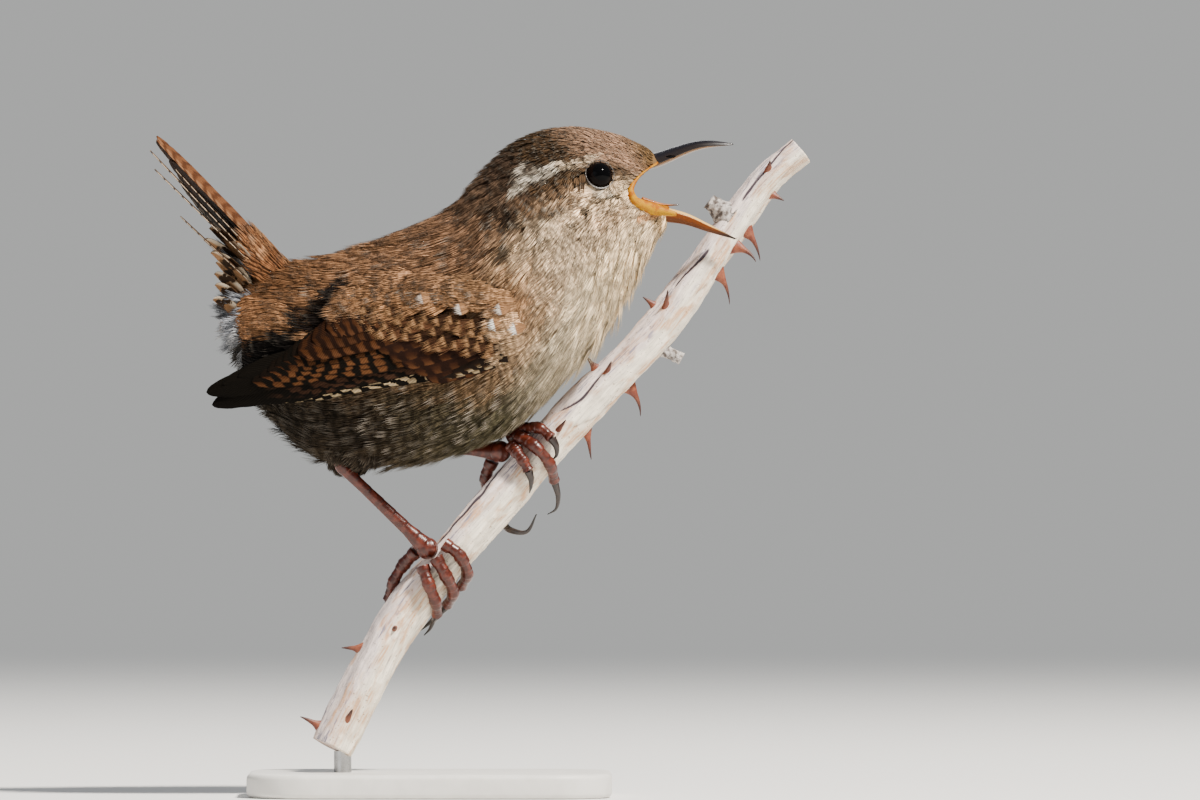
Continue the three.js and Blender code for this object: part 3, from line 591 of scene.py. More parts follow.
class BodyForm:
    """The outline of the plumage as a surface, from the sections of the body."""

    samples = 2400
    # What one unit of t is worth where the coat runs on behind the body.
    overrun = np.array([-40, 0, -6])

    def __init__(self, hold: float = 0) -> None:
        """Draws smooth lines through the sections.

        Args:
            hold: The t behind which the section stays as it is and only moves on.
        """
        self.hold = hold
        rows = np.array([[*s.upper, *s.lower, s.half, s.low] for s in STATIONS])
        self.table = catmull_rom(rows, self.samples, spaced=0)
        self.knots = np.linspace(0, 1, self.samples)

    def read(self, t: Array) -> tuple[Array, ...]:
        """The upper x and z, lower x and z, half width and sag at t."""
        return tuple(np.interp(t, self.knots, self.table[:, k]) for k in range(6))

    def point(self, t: Array, angle: Array, grow: Array | float = 0) -> Array:
        """Points of the surface, moved outwards by grow.

        Args:
            t: Where along the body.
            angle: Where round it.
            grow: How far outside the surface.

        Returns:
            The points, in millimetres.
        """
        inside = np.clip(t, self.hold, 1)
        upper_x, upper_z, lower_x, lower_z, half, low = self.read(inside)
        reach_x, reach_z = upper_x - lower_x, upper_z - lower_z
        reach = np.hypot(reach_x, reach_z)
        swing = (reach / 2 + grow) * np.cos(angle) / np.maximum(reach, 1e-6)
        ends = np.maximum(0, 1 - (1 - inside) * LAST_STATION) - np.maximum(0, 1 - inside * LAST_STATION)
        x = (upper_x + lower_x) / 2 + reach_x * swing + grow * ends
        z = (upper_z + lower_z) / 2 + reach_z * swing
        y = (np.maximum(half, 0.02) + grow) * np.sin(angle) * (1 - low * np.cos(angle))
        behind = np.maximum(0, self.hold - t)
        return np.stack(np.broadcast_arrays(x, y, z), axis=-1) + behind[..., None] * self.overrun

    def strides(self, t: Array, angle: Array) -> tuple[Array, Array]:
        """How many millimetres one unit of t and one radian are worth at places."""
        step = 1e-3
        inner = np.clip(t, step, 1 - step)
        along = np.linalg.norm(self.point(inner + step, angle) - self.point(inner - step, angle), axis=-1)
        across = np.linalg.norm(self.point(inner, angle + step) - self.point(inner, angle - step), axis=-1)
        return np.maximum(along / (2 * step), 2), np.maximum(across / (2 * step), 0.8)

    def locate(self, x: Array, z: Array) -> tuple[Array, Array]:
        """Where places in side view are on the body: t, and the cosine of the angle round it."""
        x, z = np.broadcast_arrays(x, z)
        low = np.full(x.shape, 1 / LAST_STATION)
        high = 1 - low
        for _ in range(24):
            middle = (low + high) / 2
            upper_x, upper_z, lower_x, lower_z, _, _ = self.read(middle)
            ahead = (x - upper_x) * (upper_z - lower_z) - (z - upper_z) * (upper_x - lower_x) > 0
            low = np.where(ahead, middle, low)
            high = np.where(ahead, high, middle)
        upper_x, upper_z, lower_x, lower_z, _, _ = self.read(low)
        reach_x, reach_z = upper_x - lower_x, upper_z - lower_z
        squared = np.maximum(reach_x**2 + reach_z**2, 1e-6)
        off = (x - (upper_x + lower_x) / 2) * reach_x + (z - (upper_z + lower_z) / 2) * reach_z
        return low, np.clip(2 * off / squared, -1, 1)

    def flank(self, x: Array, z: Array) -> Array:
        """Half the body's width at places in side view, or 0 outside its outline."""
        t, cosine = self.locate(x, z)
        half, sag = self.read(t)[4:]
        return half * np.sqrt(1 - cosine**2) * (1 - sag * cosine)


@dataclass(frozen=True)
class CoatRow:
    """The small feathers at one section: the coat's depth, their length and width, and their spacing."""

    station: float
    depth: float
    long: float
    wide: float
    apart: float


COAT_ROWS = (
    CoatRow(0, 1, 3.2, 2, 1.3),
    CoatRow(1.5, 1.3, 5.2, 2.8, 1.6),
    CoatRow(3, 1.5, 7.6, 3.2, 1.8),
    CoatRow(6, 1.5, 7, 3.1, 1.75),
    CoatRow(9, 1.3, 5.2, 2.4, 1.35),
    CoatRow(10.3, 0.9, 3.4, 1.5, 0.92),
    CoatRow(11.3, 0.7, 2.5, 1, 0.66),
    CoatRow(12.3, 0.5, 1.9, 0.75, 0.52),
    CoatRow(13.3, 0.4, 1.4, 0.62, 0.43),
    CoatRow(14.3, 0.3, 1, 0.5, 0.38),
    CoatRow(16, 0.2, 0.7, 0.38, 0.33),
)


def coat_sizes(t: Array) -> dict[str, Array]:
    """The depth, length, width and spacing of the coat at places along the body."""
    knots = [row.station / LAST_STATION for row in COAT_ROWS]
    fields = ("depth", "long", "wide", "apart")
    return {f: np.interp(t, knots, [getattr(row, f) for row in COAT_ROWS]) for f in fields}


# Places on the head
@dataclass(frozen=True)
class Mouth:
    """The open gape, by its edge in side view from the palate round the corner to the jaw."""

    edge: tuple[Point2, ...] = (
        (40, 95.6), (35, 92), (32.4, 90.3), (30.4, 88.9), (29.2, 87.5), (28.6, 86.2), (29.1, 85.4),
        (30.4, 84.9), (32.6, 84.3), (34.6, 83.8), (40, 82.4),
    )
    corners: int = 60
    wide: float = 24.0
    proud: float = -0.1

    def flesh(self) -> Array:
        """How far the lining stands into the opening along the edge: little along the upper jaw."""
        share = np.linspace(0, 1, self.corners)
        return 0.04 + 0.26 * smooth(0.36, 0.52, share)[:, None]

    def outline(self, inset: Array | float) -> Array:
        """The outline of the opening in side view, moved inwards by an inset."""
        line = catmull_rom(np.array(self.edge), self.corners)
        along = unit(np.gradient(line, axis=0))
        return line + inset * np.column_stack([-along[:, 1], along[:, 0]])

    def wedge(self, inset: Array | float) -> Piece:
        """The space between the palate and the jaw, as a solid tool, moved inwards by an inset."""
        tool = added("mouth_wedge", "cylinder", vertices=self.corners, radius=1, depth=1)
        prism = read_points(tool)
        turn = np.degrees(np.arctan2(prism[:, 1], prism[:, 0])) % 360
        flat = self.outline(inset)[np.rint(turn * self.corners / 360).astype(int) % self.corners]
        points = np.column_stack([flat[:, 0], np.sign(prism[:, 2]) * self.wide / 2, flat[:, 1]])
        write_points(tool, points * MM)
        face_outwards(tool)
        return tool

    def opens(self, x: Array, z: Array, margin: float) -> Array:
        """Whether places in side view lie between the jaws, or within a margin of them."""
        return inside_outline(x, z, self.outline(-margin))


@dataclass(frozen=True)
class EyePlace:
    """The eye as a ball set into the head, and the ring of its lids."""

    x: float = 24.1
    z: float = 88.5
    radius: float = 2.04
    outward: float = 5.8
    facing: Point3 = (0.26, 0.9, 0.34)
    lid_out: float = 0.62
    lid_ring: float = 2.1
    lid_thick: float = 0.145

    def centre(self, side: Side) -> Array:
        """The middle of the ball on one side."""
        return np.array([self.x, side.value * self.outward, self.z])

    def axis(self, side: Side) -> Array:
        """The direction that the eye on one side looks in."""
        return unit(np.array([self.facing[0], side.value * self.facing[1], self.facing[2]]))


MOUTH = Mouth()
EYE = EyePlace()


# Markings
@dataclass(frozen=True)
class Band:
    """The plumage's colours along the body at one height round it: stations with red, green and blue."""

    stops: tuple[tuple[float, float, float, float], ...]

    def read(self, t: Array) -> Array:
        """The colours at places along the body."""
        station, *colour = np.array(self.stops).T
        return np.stack([np.interp(t * LAST_STATION, station, part) for part in colour], axis=-1)


@dataclass(frozen=True)
class Stroke:
    """A soft streak of colour in side view, from one place to another."""

    name: str
    start: Point2
    end: Point2
    half: float
    colour: Colour
    strength: float = 1.0
    soft: float = 0.5

    def share(self, x: Array, z: Array) -> Array:
        """How much of the streak's colour each place takes."""
        line = np.array(self.end) - np.array(self.start)
        off = np.stack([x - self.start[0], z - self.start[1]], axis=-1)
        along = np.clip((off @ line) / max(float(line @ line), 1e-6), 0, 1)
        away = np.linalg.norm(off - along[..., None] * line, axis=-1)
        return self.strength * (1 - smooth(self.half - self.soft, self.half + self.soft, away))


class Markings:
    """The colours of the small feathers, by the place of their roots."""

    # In the upper band, the dark hind crown and nape (stations 9.6 to 11.3) are partly painted shade and the
    # pale crown (stations 12 and 13) partly a painted highlight, over the bird's own browns.
    upper = Band((
        (0, 0.21, 0.095, 0.036), (3, 0.175, 0.08, 0.034), (5, 0.33, 0.17, 0.085), (7, 0.27, 0.145, 0.08),
        (8.4, 0.125, 0.075, 0.044), (9.6, 0.06, 0.038, 0.026), (10.4, 0.034, 0.0195, 0.0095),
        (11.3, 0.06, 0.035, 0.018), (12, 0.26, 0.155, 0.098), (13, 0.34, 0.2, 0.125),
        (14, 0.14, 0.08, 0.035), (15, 0.165, 0.095, 0.038),
    ))
    middle = Band((
        (0, 0.42, 0.2, 0.09), (2, 0.42, 0.2, 0.09), (4.5, 0.25, 0.14, 0.073), (6.5, 0.26, 0.155, 0.08),
        (8, 0.58, 0.38, 0.22), (9.4, 0.92, 0.7, 0.47), (10.6, 0.66, 0.47, 0.3), (11.8, 0.58, 0.42, 0.26),
        (12.8, 0.66, 0.51, 0.33), (14, 0.165, 0.108, 0.06),
    ))
    # In the lower band, the very dark rear belly and belly, from station 1.6 to 7, are painted shade under
    # the body.
    lower = Band((
        (0, 0.5, 0.48, 0.46), (1.6, 0.1, 0.085, 0.07), (3, 0.01, 0.008, 0.006), (5, 0.064, 0.045, 0.027),
        (7, 0.105, 0.09, 0.052), (8.4, 0.74, 0.61, 0.42), (10, 0.88, 0.69, 0.44), (12, 0.68, 0.52, 0.335),
        (14, 0.7, 0.46, 0.22), (16, 0.66, 0.36, 0.14),
    ))
    # Where the upper band gives way to the middle one and that to the lower one, as shares of half a turn.
    upper_ends = ((0, 0.18), (3, 0.28), (5, 0.42), (8, 0.4), (10, 0.41), (12, 0.48), (14, 0.5))
    lower_starts = ((0, 0.62), (3, 0.55), (5.5, 0.58), (7, 0.74), (9, 0.64), (11, 0.7), (13, 0.72), (16, 0.7))
    blend = 0.07

    cream: Colour = (0.66, 0.58, 0.47)
    strokes = (
        Stroke("brow", (24.4, 91.1), (17.2, 90.2), 0.36, (0.62, 0.48, 0.33), 0.85, 0.4),
        Stroke("brow, behind the eye", (17.8, 90.2), (12.2, 86.9), 0.55, cream),
        Stroke("pale fleck on the hind crown", (13.8, 89.8), (12.6, 89), 0.4, cream, 0.8),
        Stroke("dark line behind the eye", (21.6, 88.4), (14.6, 86.6), 0.8, (0.075, 0.042, 0.021), 0.9),
        Stroke("dark spot before the eye", (26.3, 89.6), (28.2, 88.6), 0.75, (0.06, 0.035, 0.018), 0.85),
        Stroke("pale ring under the eye", (21.8, 86.4), (25.6, 86.2), 0.4, (0.6, 0.5, 0.38), 0.8),
        # Painted shadow on the side of the nape, below the back of the head.
        Stroke("dark side of the nape", (10.4, 89.2), (5.2, 84.6), 1.7, (0.07, 0.042, 0.026), 0.8, 1),
        Stroke("moustache", (28, 84.2), (24.6, 81), 0.55, (0.3, 0.19, 0.11), 0.6),
        Stroke("brown ear coverts", (20.5, 85.6), (13.6, 84), 1.5, (0.23, 0.13, 0.068), 0.6, 1.2),
        Stroke("warm chin", (32.6, 83.2), (30.4, 82.9), 0.5, (0.4, 0.15, 0.035), 0.75, 0.4),
        Stroke("rufous shoulder", (-8, 70.6), (12, 71.2), 3, (0.3, 0.15, 0.068), 0.85, 2.2),
        # Painted shade: these three strokes darken the gap over and behind the wing and the rear flank under
        # it.
        Stroke("dark gap over the wing", (-11.6, 72.2), (-22.2, 65), 1.6, (0.008, 0.005, 0.004), 1, 0.7),
        Stroke("dark gap behind the wing", (-22, 65), (-27, 62.6), 2.7, (0.008, 0.006, 0.005), 1, 0.9),
        Stroke("shaded rear flank", (-21, 56), (-10, 51), 2.8, (0.03, 0.022, 0.014), 0.8, 1.4),
    )
    flecked = Stroke("flecked cheek", (23.5, 84), (11, 82), 4.4, cream, 1, 1.4)
    # Where some of the feathers have cream tips.
    spotted = (
        Stroke("spotted back", (2, 79), (-12, 74.5), 2.6, cream, 0.22, 1.6),
        Stroke("spotted shoulder", (9, 72), (-6, 71), 2.8, cream, 0.34, 1.2),
        Stroke("spotted ear coverts", (17.6, 84.6), (10, 82.2), 2.6, cream, 0.5, 1.2),
        Stroke("spotted flank", (16, 58.5), (-4, 54), 4.6, cream, 0.5, 1.6),
    )

    def place(self, t: Array, angle: Array, point: Array, chance: Array) -> tuple[Array, Array]:
        """The colour and pattern of feathers.

        Args:
            t: Where along the body they root.
            angle: Where round it.
            point: The same places in millimetres.
            chance: Two random numbers from 0 to 1 for each.

        Returns:
            The ground colours, and the patterns as Attributes has them.
        """
        round_it = np.abs(angle) / math.pi
        first = np.interp(t * LAST_STATION, *zip(*self.upper_ends))
        second = np.interp(t * LAST_STATION, *zip(*self.lower_starts))
        to_middle = smooth(0, 1, (round_it - first) / self.blend / 2 + 0.5)[..., None]
        to_lower = smooth(0, 1, (round_it - second) / self.blend / 2 + 0.5)[..., None]
        ground = self.upper.read(t) * (1 - to_middle) + self.middle.read(t) * to_middle
        ground = ground * (1 - to_lower) + self.lower.read(t) * to_lower
        x, z = point[..., 0], point[..., 2]
        fleck = self.flecked.share(x, z)
        ground = ground * (1 - fleck * (0.76 * (chance[..., 0] > 0.66)))[..., None]
        ground = ground * (1 + fleck * (0.4 * (chance[..., 0] < 0.35)))[..., None]
        blotch = np.sin(2.6 * x + 1.9 * np.sin(1.5 * z)) * np.sin(2.8 * z + 1.7 * np.sin(1.9 * x))
        ground = ground * (1 - 0.6 * fleck * smooth(0.05, 0.55, blotch))[..., None]
        for stroke in self.strokes:
            share = stroke.share(x, z)[..., None]
            ground = ground * (1 - share) + np.array(stroke.colour) * share
        head = smooth(9.5, 11, t * LAST_STATION)
        bars = (1 - head) * (0.45 + 0.4 * smooth(0.35, 0.7, round_it) * (1 - smooth(0.7, 0.95, round_it)))
        bars = bars * (1 - 0.9 * smooth(7, 9, t * LAST_STATION) * to_lower[..., 0])
        spots = np.max([stroke.share(x, z) > chance[..., 1] for stroke in self.spotted], axis=0) * 0.75
        tips = np.maximum(0.18 + 0.2 * head * (1 - to_lower[..., 0]), spots)
        count = np.where(head > 0.5, 1, 4.5)
        return ground, np.stack([bars, count, tips], axis=-1)


@dataclass(frozen=True)
class Plumage:
    """The finish of the skin and the small feathers, read from what each feather carries."""

    name: str = "plumage"
    roughness: float = 0.8
    pale: Colour = (0.72, 0.62, 0.5)
    tips_from: float = 0.7
    tips_to: float = 0.95
    ripples: float = 0.55

    def material(self) -> Material:
        """Builds the material."""
        shader = Shader(self.name, roughness=self.roughness, specular_ior_level=0.08)
        ground = shader.attribute("ground", "Color")
        across, along, tone = shader.parts("vane")
        bars, count, tips = shader.parts("pattern")
        wave = (along * count + across * across * 0.25 + tone * 0.4) * (2 * math.pi)
        dark = wave.sine().step(-0.1, 0.7) * bars * along.step(0.15, 0.4)
        place = shader.millimetres()
        x, _, z = shader.parts("place")
        ripple = (x * 0.93 + z * 0.36 + shader.noise(place, 0.3, 2) * 5) * (2 * math.pi / 0.9)
        dark = dark.larger(ripple.sine().step(-0.2, 0.8) * bars * self.ripples)
        colour = shader.shade(ground, tone * 1.4 + 0.3)
        colour = shader.mix(colour, shader.shade(ground, 0.3), dark)
        colour = shader.mix(colour, self.pale, along.step(self.tips_from, self.tips_to) * tips)
        # Each feather darkens towards its root: painted shade where the feathers overlap.
        colour = shader.shade(colour, along.step(-0.1, 0.5) * 0.45 + 0.55)
        return shader.set(base_color=colour).material


PLUMAGE = Plumage()


# Small feathers
class Surface(Protocol):
    """A surface read by two numbers, of which the first grows towards the bill."""

    def point(self, first: Array, second: Array, grow: Array | float) -> Array:
        """The points in millimetres, moved off the surface by grow."""

    def strides(self, first: Array, second: Array) -> tuple[Array, Array]:
        """How many millimetres one unit of each number is worth."""


@dataclass
class Tufts:
    """Small feathers still to be made, one row to each: a fan of flat barbs on its surface.

    first and second are the root's place; long, wide and depth its sizes; turn its angle from straight
    back; loose how far its tip stands off; ground, pattern and tone its colouring; unwrap its place in
    the map for baking.
    """

    first: Array
    second: Array
    long: Array
    wide: Array
    depth: Array
    turn: Array
    loose: Array
    ground: Array
    pattern: Array
    tone: Array
    unwrap: Array

    # Along a barb, from its root to its tip.
    rings: ClassVar[Array] = np.array([0, 0.38, 0.74, 1])
    spread: ClassVar[Array] = np.array([0.3, 0.8, 1, 0.97])
    rise: ClassVar[Array] = np.array([-0.15, 0.55, 0.86, 1.02])
    width: ClassVar[Array] = np.array([0.47, 0.74, 0.52, 0])

    def piece(self, name: str, surface: Surface, barbs: int, seed: int) -> Piece:
        """Makes one mesh of all the feathers.

        Args:
            name: The piece's name.
            surface: What they grow on.
            barbs: How many barbs each has.
            seed: Starts the random numbers.

        Returns:
            The piece.
        """
        draw = np.random.default_rng(seed + len(self.first))
        shape = (len(self.first), barbs)
        slots = (np.arange(barbs) + 0.5) / barbs * 2 - 1
        across = slots + draw.normal(0, 0.35 / barbs, shape)
        reach = (1 - 0.3 * np.abs(across) ** 2) * draw.uniform(0.86, 1.06, shape)
        tone = 0.35 * self.tone[:, None] + 0.4 * draw.uniform(0, 1, shape) + 0.25 * (np.arange(barbs) % 2)
        along = self.rings * reach[..., None]
        offset = across[..., None] * self.spread + draw.normal(0, 0.16, (*shape, 1)) * self.rings**2
        stray = 0.35 * self.loose[:, None, None] + draw.normal(0, 0.06, (*shape, 1))
        lift = self.rise - 0.12 * offset**2 + self.rings**2 * stray
        rows = (self.first, self.second, self.long, self.wide, self.depth, self.turn)
        first, second, long, wide, depth, turn = (row[:, None, None] for row in rows)
        stride_first, stride_second = (s[:, None, None] for s in surface.strides(self.first, self.second))
        blade = wide / barbs * self.width
        forward = along * long
        corners = []
        for sideways, ridge in ((-1, 0), (1, 0), (0, 0.45)):
            sideward = offset * wide / 2 + sideways * blade
            back = (forward * np.cos(turn) - sideward * np.sin(turn)) / stride_first
            over = (forward * np.sin(turn) + sideward * np.cos(turn)) / stride_second
            corners.append(surface.point(first - back, second + over, depth * (lift - 1) + ridge * blade))
        return self.weave(name, np.stack(corners, axis=3), along, across, tone)

    def weave(self, name: str, points: Array, along: Array, across: Array, tone: Array) -> Piece:
        """Joins the rings of the barbs into closed solids.

        Args:
            name: The piece's name.
            points: The corners, for each feather, barb, ring and the ring's three corners.
            along: The place along the feather, for each feather, barb and ring.
            across: The place across it, for each feather and barb.
            tone: The tone of each barb.

        Returns:
            The piece.
        """
        count, barbs, rings = points.shape[:3]
        # A barb has three corners on each ring but the last, which is one point.
        each = 3 * (rings - 1) + 1
        body = points[:, :, :-1].reshape(count, barbs, each - 1, 3)
        corners = np.concatenate([body, points[:, :, -1:, 2]], axis=2)
        sides = ((0, 1), (1, 2), (2, 0))
        faces = [(0, 2, 1)]
        for low in range(0, 3 * (rings - 2), 3):
            for a, b in sides:
                faces += [(low + a, low + b, low + b + 3), (low + a, low + b + 3, low + a + 3)]
        last = 3 * (rings - 2)
        faces += [(last + a, last + b, each - 1) for a, b in sides]
        first = (np.arange(count * barbs) * each)[:, None, None]
        triangles = (np.array(faces)[None] + first).reshape(-1, 3)
        up_it = np.concatenate([np.repeat(along[:, :, :-1], 3, axis=2), along[:, :, -1:]], axis=2)
        over_it = np.broadcast_to(across[..., None], up_it.shape)
        vane = np.stack([over_it, up_it, np.broadcast_to(tone[..., None], up_it.shape)], axis=-1)
        patch = np.stack([over_it * 0.5 + 0.5, up_it], axis=-1) * TUFT_PATCH
        bake = self.unwrap[:, None, None] * (1 - TUFT_PATCH) + patch
        per_corner = (*up_it.shape, 3)
        attributes = Attributes(
            np.broadcast_to(self.ground[:, None, None], per_corner).reshape(-1, 3),
            vane.reshape(-1, 3),
            np.broadcast_to(self.pattern[:, None, None], per_corner).reshape(-1, 3),
        )
        return woven(name, corners.reshape(-1, 3), triangles, attributes, bake.reshape(-1, 2))


# The coat of small feathers
class CoatPart(Enum):
    """The pieces that the coat is made in, each with the record's slot and the node that it covers."""

    CROWN = ("crown", "crown_feathers", "head")
    FACE = ("face", "crown_feathers", "head")
    THROAT = ("throat", "breast_feathers", "neck")
    BREAST = ("breast", "breast_feathers", "torso")
    BACK = ("back", "body_feathers", "torso")
    FLANKS = ("flanks", "body_feathers", "torso")
    BELLY = ("belly", "belly_feathers", "torso")
    RUMP = ("rump", "rump_feathers", "rump")


@dataclass
class Roots:
    """Where small feathers grow: their places on the body and their own random numbers."""

    t: Array
    angle: Array
    point: Array
    chance: Array

    def take(self, chosen: Array) -> "Roots":
        """Only the chosen roots."""
        return Roots(self.t[chosen], self.angle[chosen], self.point[chosen], self.chance[chosen])


@dataclass
class Coat:
    """The small feathers of head and body, laid over one another from the bill to the tail.

    Each feather is a fan of flat barbs that starts in the skin and follows the body's own surface.
    """

    body: BodyForm
    seed: int = 11
    candidates: int = 420_000
    eye_clear: float = 2.2
    mouth_clear: float = 0.02
    # Where the two halves of the bill come out of the feathers, in side view.
    upper_bill: Point2 = (31.9, 88.5)
    lower_bill: Point2 = (31.2, 83.5)
    body_barbs: int = 20
    head_barbs: int = 7
    rump_droop: float = 0.35
    # The part of the wing that covers the body, as an outline in side view.
    wing_cover: tuple[Point2, ...] = (
        (10.4, 63.4), (10, 66), (4, 69.6), (-4, 69), (-13, 66.2), (-22, 62.4),
        (-26, 60.2), (-12, 59.4), (2, 61.6),
    )

    def scatter(self) -> Roots:
        """Spreads the roots over the body, close where the feathers are small.

        Returns:
            The roots, without those under the wings, in the eyes or in the mouth.
        """
        draw = np.random.default_rng(self.seed)
        t = draw.uniform(0.004, 0.985, self.candidates)
        angle = draw.uniform(-math.pi, math.pi, self.candidates)
        along, across = self.body.strides(t, angle)
        apart = coat_sizes(t)["apart"]
        weight = along * across / apart**2
        likely = draw.uniform(0, 1, self.candidates) < weight / np.quantile(weight, 0.98)
        t, angle, apart = t[likely], angle[likely], apart[likely]
        point = self.body.point(t, angle)
        grows = ~self.bare(point)
        t, angle, apart, point = t[grows], angle[grows], apart[grows], point[grows]
        kept = self.thin_out(point, apart * 0.86)
        return Roots(t[kept], angle[kept], point[kept], draw.uniform(0, 1, (len(kept), 8)))

    @staticmethod
    def thin_out(point: Array, apart: Array) -> Array:
        """Keeps points that stand at least a distance apart.

        Args:
            point: The points, in random order.
            apart: The distance that each keeps.

        Returns:
            The numbers of the points that are kept.
        """
        tree = tree_of(point)
        free = np.ones(len(point), bool)
        kept = []
        for number in range(len(point)):
            if free[number]:
                kept.append(number)
                for _, near, _ in tree.find_range(point[number], apart[number]):
                    free[near] = False
        return np.array(kept)

    def bare(self, point: Array) -> Array:
        """Whether places are without feathers: eyes, mouth, bill and what the wings cover."""
        x, y, z = point[:, 0], np.abs(point[:, 1]), point[:, 2]
        in_eye = (np.hypot(x - EYE.x, z - EYE.z) < self.eye_clear) & (y > 3)
        in_mouth = MOUTH.opens(x, z, self.mouth_clear)
        at_upper = (x > self.upper_bill[0]) & (z > self.upper_bill[1])
        at_lower = (x > self.lower_bill[0]) & (np.abs(z - self.lower_bill[1]) < 0.9) & (y < 1.5)
        under_wing = inside_outline(x, z, self.wing_cover) & (y > 6)
        return in_eye | in_mouth | at_upper | at_lower | under_wing

    def lie(self, roots: Roots) -> Array:
        """How far each feather turns from the line to the tail, in radians; it flows round the eye."""
        side = np.where(roots.point[:, 1] < 0, -1, 1)
        droop = self.rump_droop * (1 - smooth(2.5, 6, roots.t * LAST_STATION)) * np.abs(np.sin(roots.angle))
        turn = (roots.chance[:, 0] - 0.5) * 0.42 + droop * side
        # Directions in side view are complex numbers: x, and z times i.
        out = roots.point[:, 0] - EYE.x + 1j * (roots.point[:, 2] - EYE.z)
        away = np.maximum(np.abs(out), 0.5)
        ahead = self.body.point(roots.t - 1e-3, roots.angle) - roots.point
        flow = ahead[:, 0] + 1j * ahead[:, 2]
        flow = flow / np.maximum(np.abs(flow), 1e-9)
        push = np.minimum((self.eye_clear / away) ** 2, 0.7) * (away < 7)
        bent = flow + push * (flow - 2 * (flow * out.conj()).real * out / away**2)
        on_side = np.abs(roots.point[:, 1]) > 3.0
        return turn + np.where(on_side, np.angle(bent * flow.conj()) * side, 0)

    def tufts(self, roots: Roots) -> "Tufts":
        """The sizes and markings of the feathers that grow from roots."""
        size = coat_sizes(roots.t)
        station = roots.t * LAST_STATION
        round_it = np.abs(roots.angle) / math.pi
        low_throat = smooth(9.5, 11.5, station) * smooth(0.62, 0.8, round_it)
        loose_at = np.interp(station, (1, 4, 6, 8, 10, 13, 15), (4, 4, 0.5, 1, 4, 4, 0))
        ragged = smooth(0.7, 0.95, round_it) * loose_at
        stride = self.body.strides(roots.t, roots.angle)[0]
        long = size["long"] * (0.85 + 0.3 * roots.chance[:, 1]) * (1 + 0.7 * low_throat)
        shown = roots.t - 0.5 * size["long"] / stride
        shown_point = self.body.point(shown, roots.angle)
        ground, pattern = Markings().place(shown, roots.angle, shown_point, roots.chance[:, 5:7])
        return Tufts(
            first=roots.t, second=roots.angle, long=np.minimum(long, roots.t * stride + 0.8),
            wide=size["wide"] * (0.85 + 0.3 * roots.chance[:, 2]), depth=size["depth"],
            turn=self.lie(roots), loose=roots.chance[:, 3] ** 3 * (1 + ragged),
            ground=ground * (0.65 + 0.7 * roots.chance[:, 7:]), pattern=pattern, tone=roots.chance[:, 4],
            unwrap=np.stack([roots.angle / (2 * math.pi) + 0.5, roots.t], axis=-1),
        )

    @staticmethod
    def sort(roots: Roots) -> dict[CoatPart, Array]:
        """Which roots belong to each part of the coat."""
        station = roots.t * LAST_STATION
        round_it = np.abs(roots.angle) / math.pi
        head = station > 10.3
        neck = (station > 8.6) & ~head
        rear = station < 3.5
        trunk = ~head & ~neck & ~rear
        breast = (station > 7.2) & (round_it > 0.5)
        return {
            CoatPart.CROWN: head & (round_it < 0.46),
            CoatPart.FACE: head & (round_it >= 0.46),
            CoatPart.THROAT: neck,
            CoatPart.BREAST: trunk & breast,
            CoatPart.BACK: trunk & (round_it <= 0.38),
            CoatPart.FLANKS: trunk & ~breast & (round_it > 0.38) & (round_it <= 0.72),
            CoatPart.BELLY: trunk & ~breast & (round_it > 0.72),
            CoatPart.RUMP: rear,
        }

    def build(self) -> None:
        """Makes and dresses every part of the coat."""
        roots = self.scatter()
        for part, chosen in self.sort(roots).items():
            barbs = self.head_barbs if part in (CoatPart.CROWN, CoatPart.FACE) else self.body_barbs
            label, slot, node = part.value
            piece = self.tufts(roots.take(chosen)).piece(f"{label}_feathers", self.body, barbs, self.seed)
            finish_piece(piece, PLUMAGE, slot, node)


class Finish(Protocol):
    """Anything with a name that can build its material."""

    name: str

    def material(self) -> Material:
        """Builds the material."""


@cache
def material_of(finish: Finish) -> Material:
    """The material of a finish, made when it is first asked for."""
    return finish.material()


def finish_piece(piece: Piece, finish: Finish, slot: str, *nodes: str) -> Piece:
    """Gives a piece its material, attaches it to the root body and hides the nodes that it stands for.

    Args:
        piece: The piece.
        finish: Its finish.
        slot: The record's slot for the finish; not used.
        *nodes: The solids that it replaces.

    Returns:
        The piece.
    """
    piece.data.materials.clear()
    piece.data.materials.append(material_of(finish))
    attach(piece, ROOT_BODY)
    if nodes:
        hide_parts(*nodes)
    LOG.info("%s: %d faces", piece.name, len(piece.data.polygons))
    return piece


